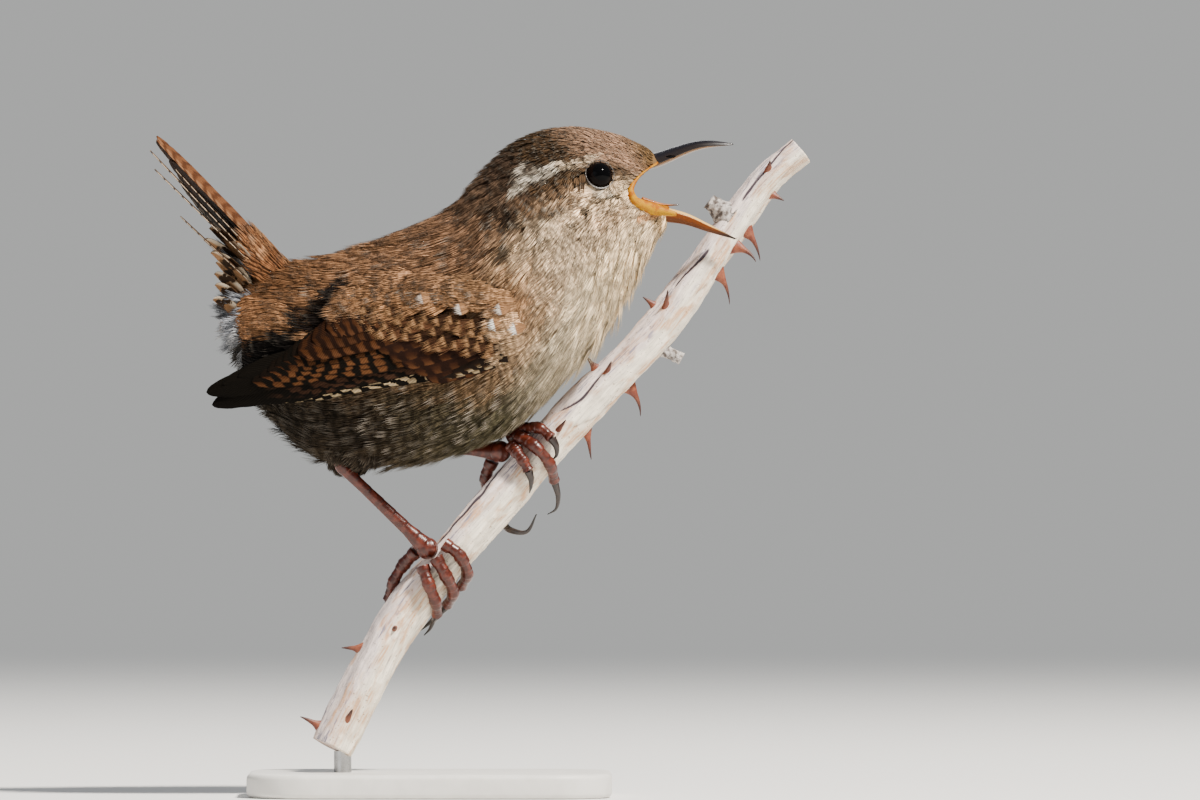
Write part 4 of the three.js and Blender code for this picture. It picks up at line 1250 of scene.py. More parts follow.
@dataclass
class Skin:
    """The skin under the feathers, whole from the vent to the bill, with its eye sockets and mouth."""

    body: BodyForm
    sides: int = 96
    rings: int = 120
    socket: float = 2.1

    def build(self) -> None:
        """Makes and dresses the skin."""
        piece = formed_ball("skin", self.sides, self.rings, self.surface)
        for leg in LEGS:
            thigh = ThighForm(leg.side, leg.heel)
            under = formed_ball("thigh", 48, 32, lambda t, angle: thigh.point(t, angle, -thigh.deep))
            cut(piece, under, "UNION")
        for side in Side:
            cut(piece, self.socket_tool(side))
        cut(piece, MOUTH.wedge(0))
        self.mark(piece)
        soften(piece)
        finish_piece(
            piece, PLUMAGE, "body_feathers", "rump", "torso", "neck", "head", "thigh_right", "thigh_left"
        )

    def surface(self, t: Array, angle: Array) -> Array:
        """Points of the skin, as deep under the outline as the coat is thick."""
        return self.body.point(t, angle, -coat_sizes(t)["depth"])

    def socket_tool(self, side: Side) -> Piece:
        """The ball that hollows out one eye socket."""
        place = EYE.centre(side) * MM
        radius = self.socket * MM
        return added("socket", "uv_sphere", segments=32, ring_count=16, radius=radius, location=place)

    def mark(self, piece: Piece) -> None:
        """Gives the skin the same markings as the feathers above it, and its own unwrap for baking."""
        points = read_points(piece) / MM
        grid_t, grid_a = np.meshgrid(np.linspace(0.002, 0.998, 300), np.linspace(-math.pi, math.pi, 240))
        grid_t, grid_a = grid_t.ravel(), grid_a.ravel()
        tree = tree_of(self.surface(grid_t, grid_a))
        nearest = np.array([tree.find(place)[1] for place in points])
        t, angle = grid_t[nearest], grid_a[nearest]
        middle = np.full((len(points), 2), 0.5)
        ground, pattern = Markings().place(t, angle, points, middle)
        pattern[:, 0] = 0.0
        pattern[:, 2] = 0.0
        vane = np.tile([0, 0.45, 0.4], (len(points), 1))
        Attributes(ground, vane, pattern).write(piece.data)
        corners = np.zeros(len(piece.data.loops), np.int32)
        piece.data.loops.foreach_get("vertex_index", corners)
        while piece.data.uv_layers:
            piece.data.uv_layers.remove(piece.data.uv_layers[0])
        map_for_baking(piece.data, np.stack([angle / (2 * math.pi) + 0.5, t], axis=-1)[corners])


@dataclass(frozen=True)
class ThighForm:
    """One thigh as a leaning oval, read from 0 at the heel to 1 at its top and by the angle round it."""

    side: Side
    heel: Point3
    # The oval's middle lies this far in front of, inside and above the heel.
    middle: Point3 = (2.2, 1.4, 3.4)
    half: Point3 = (4.4, 3.2, 5.2)
    lean: float = 38.0
    deep: float = 0.9

    def point(self, first: Array, second: Array, grow: Array | float) -> Array:
        """Points of the thigh, moved outwards by grow."""
        ring, pole = np.sin(math.pi * first), -np.cos(math.pi * first)
        x = ring * np.cos(second) * (self.half[0] + grow)
        y = ring * np.sin(second) * (self.half[1] + grow)
        z = pole * (self.half[2] + grow)
        cos, sin = math.cos(math.radians(self.lean)), math.sin(math.radians(self.lean))
        forward, inward, up = self.middle
        middle = np.array(self.heel) + np.array([forward, -inward * self.side.value, up])
        return middle + np.stack(np.broadcast_arrays(x * cos + z * sin, y, z * cos - x * sin), axis=-1)

    def strides(self, first: Array, second: Array) -> tuple[Array, Array]:
        """How many millimetres one unit of each number is worth."""
        ring = np.maximum(4.0 * np.sin(math.pi * first), 1)
        return np.full_like(first, math.pi * self.half[2] * 0.9), ring


@dataclass
class Thigh:
    """The short feathers of one thigh, which close round the top of the bare leg."""

    form: ThighForm
    count: int = 300
    # Near black: the thigh feathers' own dark brown with painted shade under the wing.
    ground: Colour = (0.03, 0.022, 0.015)
    seed: int = 53

    def build(self) -> None:
        """Makes and dresses the feathers."""
        draw = np.random.default_rng(self.seed)
        first, second = draw.uniform(0.12, 0.75, self.count), draw.uniform(-math.pi, math.pi, self.count)
        chance = draw.uniform(0, 1, (self.count, 4))
        tufts = Tufts(
            first=first, second=second,
            long=np.minimum(2.6 * (0.8 + 0.4 * chance[:, 0]), (first - 0.03) * 14),
            wide=1.7 * (0.8 + 0.4 * chance[:, 1]), depth=np.full(self.count, self.form.deep),
            turn=(chance[:, 2] - 0.5) * 0.5, loose=chance[:, 3] ** 2 * 2,
            ground=np.tile(self.ground, (self.count, 1)) * (0.6 + 0.8 * chance[:, :1]),
            pattern=np.tile([0.4, 2, 0.1], (self.count, 1)), tone=chance[:, 1],
            unwrap=np.stack([second / (2 * math.pi) + 0.5, first], axis=-1),
        )
        side = self.form.side.label
        piece = tufts.piece(f"thigh_feathers_{side}", self.form, 11, self.seed)
        finish_piece(piece, PLUMAGE, "belly_feathers", f"thigh_{side}")


# Flight feathers
def closed_sheet(rows: int, columns: int) -> Array:
    """The triangles of a sheet with two faces and a rim.

    Args:
        rows: How many rows of vertices each face has.
        columns: How many columns.

    Returns:
        Three vertex numbers to a row; the upper face's vertices come first.
    """
    size = rows * columns
    number = np.arange(size).reshape(rows, columns)
    low, high = number[:-1], number[1:]
    upper = np.stack([low[:, :-1], low[:, 1:], high[:, 1:], high[:, :-1]], axis=-1).reshape(-1, 4)
    rim = np.concatenate([number[0], number[1:, -1], number[-1, -2::-1], number[-2:0:-1, 0]])
    after = np.roll(rim, -1)
    edge = np.stack([after, rim, rim + size, after + size], axis=-1)
    quads = np.concatenate([upper, upper[:, ::-1] + size, edge])
    return np.concatenate([quads[:, [0, 1, 2]], quads[:, [0, 2, 3]]])


@dataclass
class Vanes:
    """Flight feathers on their way to becoming one mesh: thin closed blades with a shaft and torn edges."""

    seed: int
    columns: int = 12
    rows: int = 28
    thick: float = 0.09
    shaft: float = 0.1
    camber: float = 0.22
    narrow: float = 0.4
    full: float = 0.45
    round_from: float = 0.72
    ragged: float = 0.03
    points: list[Array] = field(default_factory=list)
    vanes: list[Array] = field(default_factory=list)

    def outline(self, v: Array) -> Array:
        """The feather's width along it, as a share of its widest."""
        rise = self.narrow + (1 - self.narrow) * smooth(-0.1, self.full, v)
        past = np.maximum(0, (v - self.round_from) / (1.0 - self.round_from))
        return np.maximum(0.03, rise * np.sqrt(np.maximum(0, 1 - past**2)))

    def add(self, wide: float, place: Placing) -> None:
        """Adds one feather.

        Args:
            wide: Its width.
            place: Gives points for the millimetres across it, the share along it and the height.
        """
        draw = np.random.default_rng(self.seed + len(self.points))
        u = np.linspace(-1, 1, self.columns)
        v = 1 - (1 - np.linspace(0, 1, self.rows)[:, None]) ** 1.5
        torn = draw.normal(0, self.ragged, (self.rows, 2))
        torn[draw.uniform(0, 1, torn.shape) > 0.95] -= 0.15
        edge = np.where(u < 0, torn[:, :1], torn[:, 1:]) * np.abs(u) ** 4
        offset = wide / 2 * self.outline(v) * u * (1 + edge)
        height = self.shaft * (1 - 0.7 * v) * (np.abs(u) < 1.5 / self.columns) - self.camber * u**2
        v, height = np.broadcast_arrays(v, height)
        faces = [place(offset, v, height + side * self.thick / 2).reshape(-1, 3) for side in (1, -1)]
        self.points.append(np.concatenate(faces))
        row = [np.broadcast_to(u, offset.shape).ravel(), v.ravel(), np.full(offset.size, draw.uniform())]
        self.vanes.append(np.tile(np.stack(row, axis=-1), (2, 1)))

    def piece(self, name: str) -> Piece:
        """Makes one mesh of all the feathers.

        Args:
            name: The piece's name.

        Returns:
            The piece.
        """
        each = 2 * self.rows * self.columns
        sheet = closed_sheet(self.rows, self.columns)
        count = len(self.points)
        triangles = (sheet[None] + each * np.arange(count)[:, None, None]).reshape(-1, 3)
        vane = np.concatenate(self.vanes)
        # Each feather has a strip of the map for baking, with its upper face in the left half.
        under = np.tile(np.repeat([0, 1], each // 2), count)
        strip = np.repeat(np.arange(count), each)
        across_strip = (strip + vane[:, 0] * 0.42 + 0.5) / count
        bake = np.stack([under / 2 + vane[:, 1] * 0.48 + 0.01, across_strip], axis=-1)
        blank = np.zeros_like(vane)
        # The pattern's first number marks the lower face, which the finish paints with its under colour:
        # painted shade on the wing and the quills.
        pattern = np.column_stack([under, blank[:, 1:]])
        piece = woven(name, np.concatenate(self.points), triangles, Attributes(blank, vane, pattern), bake)
        return soften(piece, 50)


@dataclass(frozen=True)
class BarredVane:
    """The finish of a row of flight feathers: bars on the outer web, which is the side below zero."""

    name: str
    dark: Colour
    web: Colour
    edge: Colour
    bars: float
    inner: float = 0.0
    slant: float = 0.5
    narrow_bars: float = 0.0
    bars_end: float = 1.2
    soft: float = 0.5
    reach: float = -0.1
    edge_from: float = -0.35
    roughness: float = 0.65
    barbs: float = 46.0
    # The lower face's colour; the near-black default is painted shade.
    under: Colour = (0.004, 0.003, 0.003)

    def material(self) -> Material:
        """Builds the material."""
        shader = Shader(self.name, roughness=self.roughness, specular_ior_level=0.04)
        across, along, tone = shader.parts("vane")
        below = shader.parts("pattern")[0]
        # The bars keep to a strip of the outer web; the dark rim at its edge and the dark band where the next
        # feather overlaps are painted shade.
        outer = across.step(self.reach + 0.15, self.reach - 0.05) * across.step(-1, -0.86)
        outer = outer * (1 - self.inner) + self.inner
        uneven = shader.noise(shader.attribute("vane"), 2.2, 2, (1, 5, 40))
        wave = (along * self.bars + across.size() * self.slant + tone * 0.35 + uneven * 0.6) * (2 * math.pi)
        light = wave.sine().step(self.narrow_bars - self.soft, self.narrow_bars + self.soft) * outer
        light = light * along.step(self.bars_end + 0.06, self.bars_end - 0.06)
        web = shader.mix(self.web, self.edge, across.step(self.edge_from, -0.95))
        colour = shader.mix(self.dark, shader.shade(web, tone * 0.6 + 0.7), light)
        barb = (along * self.barbs - across.size() * 5) * (2 * math.pi)
        colour = shader.shade(colour, uneven * 0.5 + 0.7 + barb.sine() * 0.16)
        # The lower face takes the under colour, painted shade on all but the coverts under the tail.
        colour = shader.mix(colour, self.under, below * 0.85)
        shader.bump(barb.sine() * 0.5 + 0.5, 0.05, 0.6)
        return shader.set(base_color=colour).material


class InMillimetres:
    """A surface that is read by two numbers in millimetres."""

    def strides(self, first: Array, second: Array) -> tuple[Array, Array]:
        """Both numbers are millimetres."""
        return np.ones_like(first), np.ones_like(second)


class WingForm(InMillimetres):
    """A folded wing as a sheet over the flank, read by x and z in side view."""

    middle = (3, 64)
    half = 14.7
    backward = 0.0058
    upward = 0.035
    tilt = 0.16
    soft = 1.5
    front_from = 4.0
    front_fall = 0.03
    edge_fall = 0.25

    def __init__(self, body: BodyForm, side: Side) -> None:
        """Lays the wing over one side of the body."""
        self.body = body
        self.side = side

    def point(self, x: Array, z: Array, grow: Array | float) -> Array:
        """Points of the sheet, moved outwards by grow."""
        back = x - self.middle[0]
        up = z - self.middle[1] - self.tilt * back
        bulge = self.half - self.backward * back**2 - self.upward * up**2
        bulge = bulge - self.front_fall * np.maximum(back - self.front_from, 0) ** 2
        bulge = bulge - self.edge_fall * smooth(0, 8, x) * np.maximum(-up - 1, 0) ** 2
        flank = self.body.flank(x, z)
        out = (flank + bulge + np.hypot(flank - bulge, self.soft)) / 2 + grow
        return np.stack(np.broadcast_arrays(x, self.side.value * out, z), axis=-1)


@dataclass(frozen=True)
class WingRow:
    """A row of the wing's feathers: the roots and tips of its first and last one, and how it lies."""

    name: str
    count: int
    root_first: Point2
    root_last: Point2
    tip_first: Point2
    tip_last: Point2
    wide: float
    lift: float
    finish: BarredVane
    slope: float = 0.2
    stray: float = 0.0

    def feather(self, share: float, form: WingForm) -> Placing:
        """Where one feather of the row lies.

        Args:
            share: Its place in the row, from 0 to 1.
            form: The wing that it lies on.

        Returns:
            The placing for Vanes.
        """
        aside = np.random.default_rng([*self.name.encode(), int(share * 1000)]).normal(0, self.stray, (2, 2))
        root = np.array(self.root_first) * (1 - share) + np.array(self.root_last) * share + aside[0]
        tip = np.array(self.tip_first) * (1 - share) + np.array(self.tip_last) * share + aside[1]
        along = tip - root
        up = np.array([along[1], -along[0]]) / np.hypot(*along)

        def place(offset: Array, v: Array, height: Array) -> Array:
            """Points of the feather."""
            bowed = offset + 0.025 * np.hypot(*along) * np.sin(math.pi * v)
            x = root[0] + along[0] * v + up[0] * bowed
            z = root[1] + along[1] * v + up[1] * bowed
            return form.point(x, z, self.lift * (0.55 + 0.45 * v) - self.slope * offset + height)

        return place


BLACKISH: Colour = (0.004, 0.003, 0.002)
RUSSET: Colour = (0.034, 0.012, 0.004)
CREAM_EDGE: Colour = (0.42, 0.31, 0.18)
OUTER_PRIMARY = BarredVane(
    "outer_primaries", BLACKISH, (0.018, 0.009, 0.004), CREAM_EDGE, 12, narrow_bars=0.2, bars_end=0.88,
    soft=0.2, reach=-0.45,
)
PRIMARY = BarredVane(
    "primaries", BLACKISH, (0.02, 0.009, 0.005), (0.035, 0.016, 0.009), 11, bars_end=0.74, reach=-0.5
)
SECONDARY = BarredVane(
    "secondaries", BLACKISH, (0.034, 0.012, 0.0045), (0.085, 0.034, 0.013), 11, 0.06, 0.3, -0.1, reach=-0.4
)
TERTIAL = BarredVane("tertials", (0.01, 0.004, 0.002), RUSSET, (0.06, 0.024, 0.01), 9, 0.5, soft=0.7)
GREATER = BarredVane(
    "greater_coverts", (0.012, 0.005, 0.003), (0.03, 0.011, 0.005), (0.07, 0.028, 0.011), 4, 0.3, 0.3,
    soft=0.7, reach=-0.3,
)
ALULA = BarredVane(
    "alula", (0.01, 0.006, 0.004), (0.03, 0.014, 0.006), CREAM_EDGE, 5, 0.1, soft=0.3, reach=-0.3
)
SPOTTED_COVERTS = Plumage("spotted_coverts", pale=(0.4, 0.22, 0.105), tips_from=0.54, tips_to=0.68, ripples=0)
WHITE_SPOTS = Plumage("median_coverts", pale=(0.85, 0.82, 0.77), tips_from=0.5, tips_to=0.6, ripples=0)


@dataclass
class Wing:
    """One folded wing: rows of flight feathers and coverts, and the soft feathers on its shoulder."""

    form: WingForm
    # Name, count, roots and tips of the first and the last feather, width, lift and finish.
    rows: tuple[WingRow, ...] = (
        WingRow("primaries", 4, (7, 63.2), (5, 64), (-24.6, 56.6), (-30.9, 55.9), 3.9, 0.5, PRIMARY),
        WingRow("inner_primaries", 3, (5, 64), (3.5, 64.8), (-31.7, 57.7), (-27.2, 60), 4.1, 0.6, PRIMARY),
        WingRow(
            "outer_primaries", 3, (9.4, 62), (8.3, 62.6), (-22.6, 56.9), (-27.4, 56.7), 4.1, 0.35,
            OUTER_PRIMARY,
        ),
        WingRow("secondaries", 6, (2, 63.2), (-3.2, 67.6), (-25.2, 59.3), (-19.6, 63), 4.3, 0.85, SECONDARY),
        WingRow(
            "tertials", 3, (-1.6, 66.6), (-3.6, 69.8), (-18.6, 63.6), (-14.6, 66.8), 4.6, 1.3, TERTIAL, 0.16
        ),
        WingRow("greater_coverts", 8, (9.4, 61.8), (-3, 69), (-0.4, 59.9), (-12.4, 67), 3.2, 1, GREATER),
        WingRow("alula", 2, (11.2, 62.4), (10.6, 63.2), (1.6, 59.6), (3.4, 60.4), 2, 1, ALULA),
    )
    # The spotted coverts root in rows from this place, with these steps down a row and between rows.
    covert_start: Point2 = (12.2, 67.6)
    covert_step: Point2 = (-0.5, -1.35)
    covert_row: Point2 = (-1.7, 0.26)
    covert_rows: int = 12
    coverts_each: int = 6
    # No covert roots below this height, which rises towards the rear.
    covert_low: float = 62.2
    covert_brown: Colour = (0.06, 0.026, 0.012)
    spot_brown: Colour = (0.28, 0.145, 0.07)
    covert_rise: float = 0.27
    # Where the coverts' patches start on the map for baking, in side view, and how much it shows.
    map_from: Point2 = (-10, 55)
    map_size: float = 30
    # The white spots of the median coverts, in side view, with how white they are.
    white_spots: tuple[Point3, ...] = (
        (12.1, 66.7, 1), (9.1, 67.3, 1), (10, 69.4, 0.5), (4.3, 69.4, 0.6), (-1.1, 70.9, 0.4),
    )
    # The soft feathers of the shoulder root between these lines in side view.
    shoulder: tuple[Point2, ...] = (
        (12.4, 61.8), (14.6, 65.6), (13, 71.6), (4, 74.4), (-6, 74.2), (-11.6, 72.4), (-10.6, 68.6),
        (-8, 67.6), (-2.5, 69.8), (4, 70.6), (10.6, 69.8), (12.4, 65.6),
    )
    # The lower rear corner and the size of the area that the outline is in.
    shoulder_from: Point2 = (-14, 60)
    shoulder_size: Point2 = (32, 15)
    shoulder_tries: int = 12_000
    shoulder_apart: float = 0.8
    shoulder_out: float = 1.9
    seed: int = 31

    def build(self) -> None:
        """Makes and dresses the rows and the shoulder."""
        side = self.form.side.label
        node = f"wing_{side}"
        for number, row in enumerate(self.rows):
            vanes = Vanes(self.seed + 100 * number)
            for k in range(row.count):
                vanes.add(row.wide, row.feather(k / (row.count - 1), self.form))
            finish_piece(vanes.piece(f"{row.name}_{side}"), row.finish, "wing_feathers", node)
        shoulder = ShiftedSurface(self.form, self.shoulder_out, self.shoulder_share)
        outer = ShiftedSurface(self.form, 1.8, self.covert_share)
        soft = (
            ("median_coverts", self.spots(), ShiftedSurface(shoulder, 0.45), 26, WHITE_SPOTS),
            ("spotted_coverts", self.coverts(), outer, 26, SPOTTED_COVERTS),
            ("shoulder", self.soft_shoulder(), shoulder, 18, PLUMAGE),
        )
        for name, tufts, surface, barbs, finish in soft:
            piece = tufts.piece(f"{name}_{side}", surface, barbs, self.seed)
            finish_piece(piece, finish, "wing_feathers", node)

    def coverts(self) -> Tufts:
        """The dark coverts with buff spots at their tips, in staggered rows."""
        draw = np.random.default_rng(self.seed + 1)
        row, place = np.divmod(np.arange(self.covert_rows * self.coverts_each), self.coverts_each)
        down = place + 0.5 * (row % 2)
        root = np.array(self.covert_start) + row[:, None] * np.array(self.covert_row)
        root = root + down[:, None] * np.array(self.covert_step) + draw.normal(0, 0.16, (len(row), 2))
        root = root[root[:, 1] > self.covert_low - self.covert_rise * (root[:, 0] - self.covert_start[0])]
        count = len(root)
        chance = draw.uniform(0, 1, (count, 6))
        return Tufts(
            first=root[:, 0], second=root[:, 1], long=3.7 * (0.9 + 0.2 * chance[:, 1]),
            wide=1.75 * (0.85 + 0.3 * chance[:, 2]), depth=np.full(count, 0.9),
            turn=-0.3 - (chance[:, 3] - 0.5) * 0.3, loose=0.3 * chance[:, 4],
            ground=np.array(self.covert_brown) * (0.5 + chance[:, :1]),
            pattern=np.column_stack([np.zeros((count, 2)), 0.6 + 0.4 * chance[:, 5]]), tone=chance[:, 0],
            unwrap=(root - self.map_from) / self.map_size,
        )

    def spots(self) -> Tufts:
        """The few median coverts with white spots at their tips."""
        root, white = np.array(self.white_spots)[:, :2] + [1.6, 0.4], np.array(self.white_spots)[:, 2:]
        count = len(root)
        return Tufts(
            first=root[:, 0], second=root[:, 1], long=np.full(count, 2.7), wide=np.full(count, 1.8),
            depth=np.full(count, 0.7), turn=np.full(count, -0.25), loose=np.zeros(count),
            ground=np.tile(self.spot_brown, (count, 1)),
            pattern=np.column_stack([np.zeros((count, 2)), white]), tone=np.full(count, 0.5),
            unwrap=(root - self.map_from) / self.map_size,
        )

    def soft_shoulder(self) -> Tufts:
        """The soft small feathers over the front of the wing."""
        draw = np.random.default_rng(self.seed)
        (left, low), (wide, high) = self.shoulder_from, self.shoulder_size
        x = draw.uniform(left, left + wide, self.shoulder_tries)
        z = draw.uniform(low, low + high, self.shoulder_tries)
        chosen = inside_outline(x, z, self.shoulder)
        point = self.form.point(x[chosen], z[chosen], 0)
        point = point[Coat.thin_out(point, np.full(len(point), self.shoulder_apart))]
        count = len(point)
        chance = draw.uniform(0, 1, (count, 5))
        t, cosine = self.form.body.locate(point[:, 0], point[:, 2])
        angle = np.arccos(cosine) * self.form.side.value
        ground, pattern = Markings().place(t, angle, point, chance[:, 1:3])
        return Tufts(
            first=point[:, 0], second=point[:, 2], long=4.6 * (0.85 + 0.3 * chance[:, 1]),
            wide=2.2 * (0.85 + 0.3 * chance[:, 2]), depth=np.full(count, 1.1),
            turn=-0.15 + (chance[:, 3] - 0.5) * 0.5, loose=chance[:, 4] ** 3,
            ground=ground * (0.65 + 0.7 * chance[:, :1]), pattern=pattern, tone=chance[:, 0],
            unwrap=(point[:, ::2] - self.shoulder_from) / self.shoulder_size,
        )

    @staticmethod
    def covert_share(x: Array, z: Array) -> Array:
        """How far out the spotted coverts lie: least at their front, a little less at their rear."""
        return 1.4 * smooth(17, 5, x) - 0.4 - 0.3 * smooth(6, -4, x)

    @staticmethod
    def shoulder_share(x: Array, z: Array) -> Array:
        """How far out the soft shoulder lies: least at its front, its top and its rear."""
        front = smooth(17, 5, x)
        return front * smooth(75.5, 70.5, z) * (0.62 + 0.38 * smooth(-7, 3, x)) - 0.4 * (1 - front)


@dataclass(frozen=True)
class ShiftedSurface:
    """A surface that lies a little outside another, by a share that may fade out."""

    under: Surface
    out: float
    share: Form = lambda first, second: np.ones_like(first)

    def point(self, first: Array, second: Array, grow: Array | float) -> Array:
        """Points of the outer surface."""
        return self.under.point(first, second, grow + self.out * self.share(first, second))

    def strides(self, first: Array, second: Array) -> tuple[Array, Array]:
        """The same as the surface under it."""
        return self.under.strides(first, second)


# The tail
@dataclass(frozen=True)
class TailForm:
    """The cocked tail's own directions: back along it, across it and out of its upper face."""

    root: Point2 = (-21.6, 76.9)
    angle: float = 134.7

    def lay(self, u: Array, y: Array, w: Array) -> Array:
        """Points u along the tail, y across it and w above its upper face."""
        cos, sin = math.cos(math.radians(self.angle)), math.sin(math.radians(self.angle))
        x = self.root[0] + u * cos + w * sin
        z = self.root[1] + u * sin - w * cos
        return np.stack(np.broadcast_arrays(x, y, z), axis=-1)


@dataclass(frozen=True)
class TailFace(InMillimetres):
    """One face of the tail that small feathers grow on. Its first number shrinks towards the tip."""

    form: TailForm
    level: Array | float
    outward: int
    droop: float

    def point(self, first: Array, second: Array, grow: Array | float) -> Array:
        """Points of the face."""
        rounded = self.level - self.outward * self.droop * second**2
        return self.form.lay(-first, second, rounded + self.outward * grow)


# The quills' near-black lower faces are painted shade.
MIDDLE_QUILL = BarredVane(
    "middle_quills", (0.06, 0.022, 0.009), (0.12, 0.048, 0.02), (0.2, 0.1, 0.05), 13, 0.8, 0.3, -0.2,
    soft=0.9, reach=1,
)
OUTER_QUILL = BarredVane(
    "outer_quills", (0.02, 0.012, 0.008), (0.05, 0.025, 0.013), (0.66, 0.52, 0.38), 13, 0.5, 0.3, -0.7,
    soft=0.35, edge_from=-0.7, under=(0.002, 0.0015, 0.0015),
)
COVERT = BarredVane(
    "under_tail_coverts", (0.025, 0.014, 0.008), (0.2, 0.105, 0.05), (0.55, 0.45, 0.33), 1.7, 1, 0.2, -0.1,
    soft=0.3, under=(0.2, 0.11, 0.055), reach=1,
)


@dataclass(frozen=True)
class Quill:
    """One tail feather: how far it ends along the tail, its height at root and tip, and its slope."""

    end: float
    root: float
    tip: float
    slope: float


@dataclass(frozen=True)
class Bunch:
    """A bunch of small feathers at the tail's root or under it, rounded across."""

    name: str
    form: TailForm
    outward: int
    count: int
    start: tuple[float, float]
    spread: float
    long: float
    wide: float
    ground: Colour
    pale: Colour
    pale_share: float
    pattern: Point3
    slot: str = "tail_feathers"
    node: str = "tail"
    level: float = 0.0
    thick: float = 0.6
    depth: float = 0.8
    loose: float = 1.0
    droop: float = 0.13


WHITE_FLUFF: Colour = (0.33, 0.34, 0.37)
DARK_TIPPED: Point3 = (0.95, 1.3, 0)
BELLY_ON_RUMP = ("belly_feathers", "rump")


@dataclass
class Tail:
    """The tail: twelve quills and the feathers that cover their roots above and below."""

    form: TailForm
    # From the middle outwards. The near feathers are seen edge on and the far ones from beneath.
    quills: ClassVar[dict[Side, tuple[Quill, ...]]] = {
        Side.RIGHT: (
            Quill(24.6, -0.2, -0.1, 0.27), Quill(24.2, -0.8, -0.5, 0.1), Quill(19.4, -2, -1.5, 0.04),
            Quill(23.7, -2.7, -2.2, 0.04), Quill(21.3, -3.1, -3.6, 0.03), Quill(13.9, -5.1, -5.7, 0.04),
        ),
        Side.LEFT: (
            Quill(24.2, -0.9, -0.7, 0.3), Quill(21, -1.6, -1.3, 0.36), Quill(19, -2.1, -1.7, 0.4),
            Quill(18, -2.5, -2.2, 0.4), Quill(15, -2.8, -2.7, 0.36), Quill(10, -3, -3.2, 0.3),
        ),
    }
    start: float = -2.0
    wide: float = 4.2
    covert_wide: float = 2.0
    # The long feathers under the tail's root: the ends of the line that they root on, and their tips.
    covert_roots: tuple[Point2, Point2] = ((-24.4, 74.2), (-27, 68))
    covert_tips: tuple[Point2, ...] = (
        (-31.4, 81.1), (-32.2, 79.4), (-31.2, 77.6), (-30.5, 76.2), (-30.7, 74.6), (-30.6, 73),
        (-30.9, 70.9),
    )
    seed: int = 71
    bunches: tuple[Bunch, ...] = (
        Bunch("upper_tail_coverts", TailForm(), 1, 150, (-5, 1.6), 3.6, 6.2, 2.4, (0.17, 0.07, 0.028),
              (0.28, 0.14, 0.065), 0.3, (0.5, 5, 0.1), level=-0.1, depth=0.7, loose=0.15, droop=0.17),
        Bunch("inner_undertail", TailForm((-25.2, 74.4), 136), -1, 70, (-3, 2.4), 2.8, 6, 1.6,
              (0.4, 0.41, 0.43), (0.12, 0.1, 0.09), 0.2, (0.4, 1.3, 0), thick=1.4, droop=0.04),
        Bunch("chin", TailForm((29.4, 82.5), -36), 1, 50, (-2, 0.6), 1.3, 2.2, 0.9,
              (0.66, 0.5, 0.33), (0.3, 0.2, 0.12), 0.25, (0.2, 1, 0.3), "crown_feathers", "head", thick=0.5,
              depth=0.4, loose=1.5, droop=0.3),
        Bunch("upper_fluff", TailForm((-27, 69), 160), -1, 110, (-3, 0.6), 4, 4.2, 1.5,
              WHITE_FLUFF, (0.1, 0.08, 0.07), 0.15, DARK_TIPPED, *BELLY_ON_RUMP, thick=2.6, loose=3),
        Bunch("middle_fluff", TailForm((-27.2, 66), 182), -1, 130, (-3, 0.3), 4.4, 3.4, 1.5,
              WHITE_FLUFF, (0.2, 0.17, 0.15), 0.15, (0.3, 1.3, 0), *BELLY_ON_RUMP, thick=3.4, loose=3),
        Bunch("lower_fluff", TailForm((-25.6, 62.8), 204), -1, 120, (-3, 0.3), 4.8, 3.2, 1.5,
              (0.3, 0.3, 0.31), (0.05, 0.045, 0.04), 0.4, (0.3, 1.3, 0), *BELLY_ON_RUMP, thick=3.4, loose=3),
    )

    def build(self) -> None:
        """Makes and dresses the quills and their coverts."""
        for finish, chosen in ((MIDDLE_QUILL, range(2)), (OUTER_QUILL, range(2, 6))):
            vanes = Vanes(self.seed, rows=32, camber=0.05, thick=0.08)
            for side, quills in self.quills.items():
                for k in chosen:
                    vanes.add(self.wide, self.place(side, k, quills[k]))
            finish_piece(vanes.piece(f"tail_{finish.name}"), finish, "tail_feathers", "tail")
        coverts = Vanes(self.seed, rows=24, camber=0.3, round_from=0.5)
        for k in range(len(self.covert_tips)):
            for side in Side:
                coverts.add(self.covert_wide, self.covert(side, k))
        finish_piece(coverts.piece("under_tail_coverts"), COVERT, "tail_feathers", "tail")
        for bunch in self.bunches:
            finish_piece(self.coverts(bunch), PLUMAGE, bunch.slot, bunch.node)

    def place(self, side: Side, k: int, quill: Quill) -> Placing:
        """Where one quill lies.

        Args:
            side: The side of the tail.
            k: Its number, from the middle.
            quill: Its length, heights and slope.

        Returns:
            The placing for Vanes.
        """
        root_y, tip_y = side.value * (0.5 + 0.45 * k), side.value * (1.3 + 1.15 * k)

        def lie(offset: Array, v: Array, height: Array) -> Array:
            """Points of the quill, whose outer web is its side below zero."""
            outward = -offset * side.value
            y = root_y + (tip_y - root_y) * v + outward
            w = quill.root + (quill.tip - quill.root) * v - quill.slope * side.value * outward + height
            return self.form.lay(self.start + (quill.end - self.start) * v, y, w)

        return lie

    def covert(self, side: Side, k: int) -> Placing:
        """Where one of the long feathers under the tail's root lies; k counts from the upper ones."""
        first, last = np.array(self.covert_roots)
        root = first + (last - first) * k / 6
        way = np.array(self.covert_tips[k]) - root
        form = TailForm(tuple(root), math.degrees(math.atan2(way[1], way[0])))
        out = 1.4 + 0.4 * k if k % 2 else 3.4
        long = float(np.hypot(*way)) * (1.0 if side is Side.RIGHT else 0.9)

        def lie(offset: Array, v: Array, height: Array) -> Array:
            """Points of the feather, whose shown face is its lower one."""
            outward = -offset * side.value
            y = side.value * out * (1 + 0.3 * v) + outward * 0.7
            return form.lay(long * v, y, 0.8 * side.value * outward + 0.5 * math.pi * v * (1 - v) - height)

        return lie

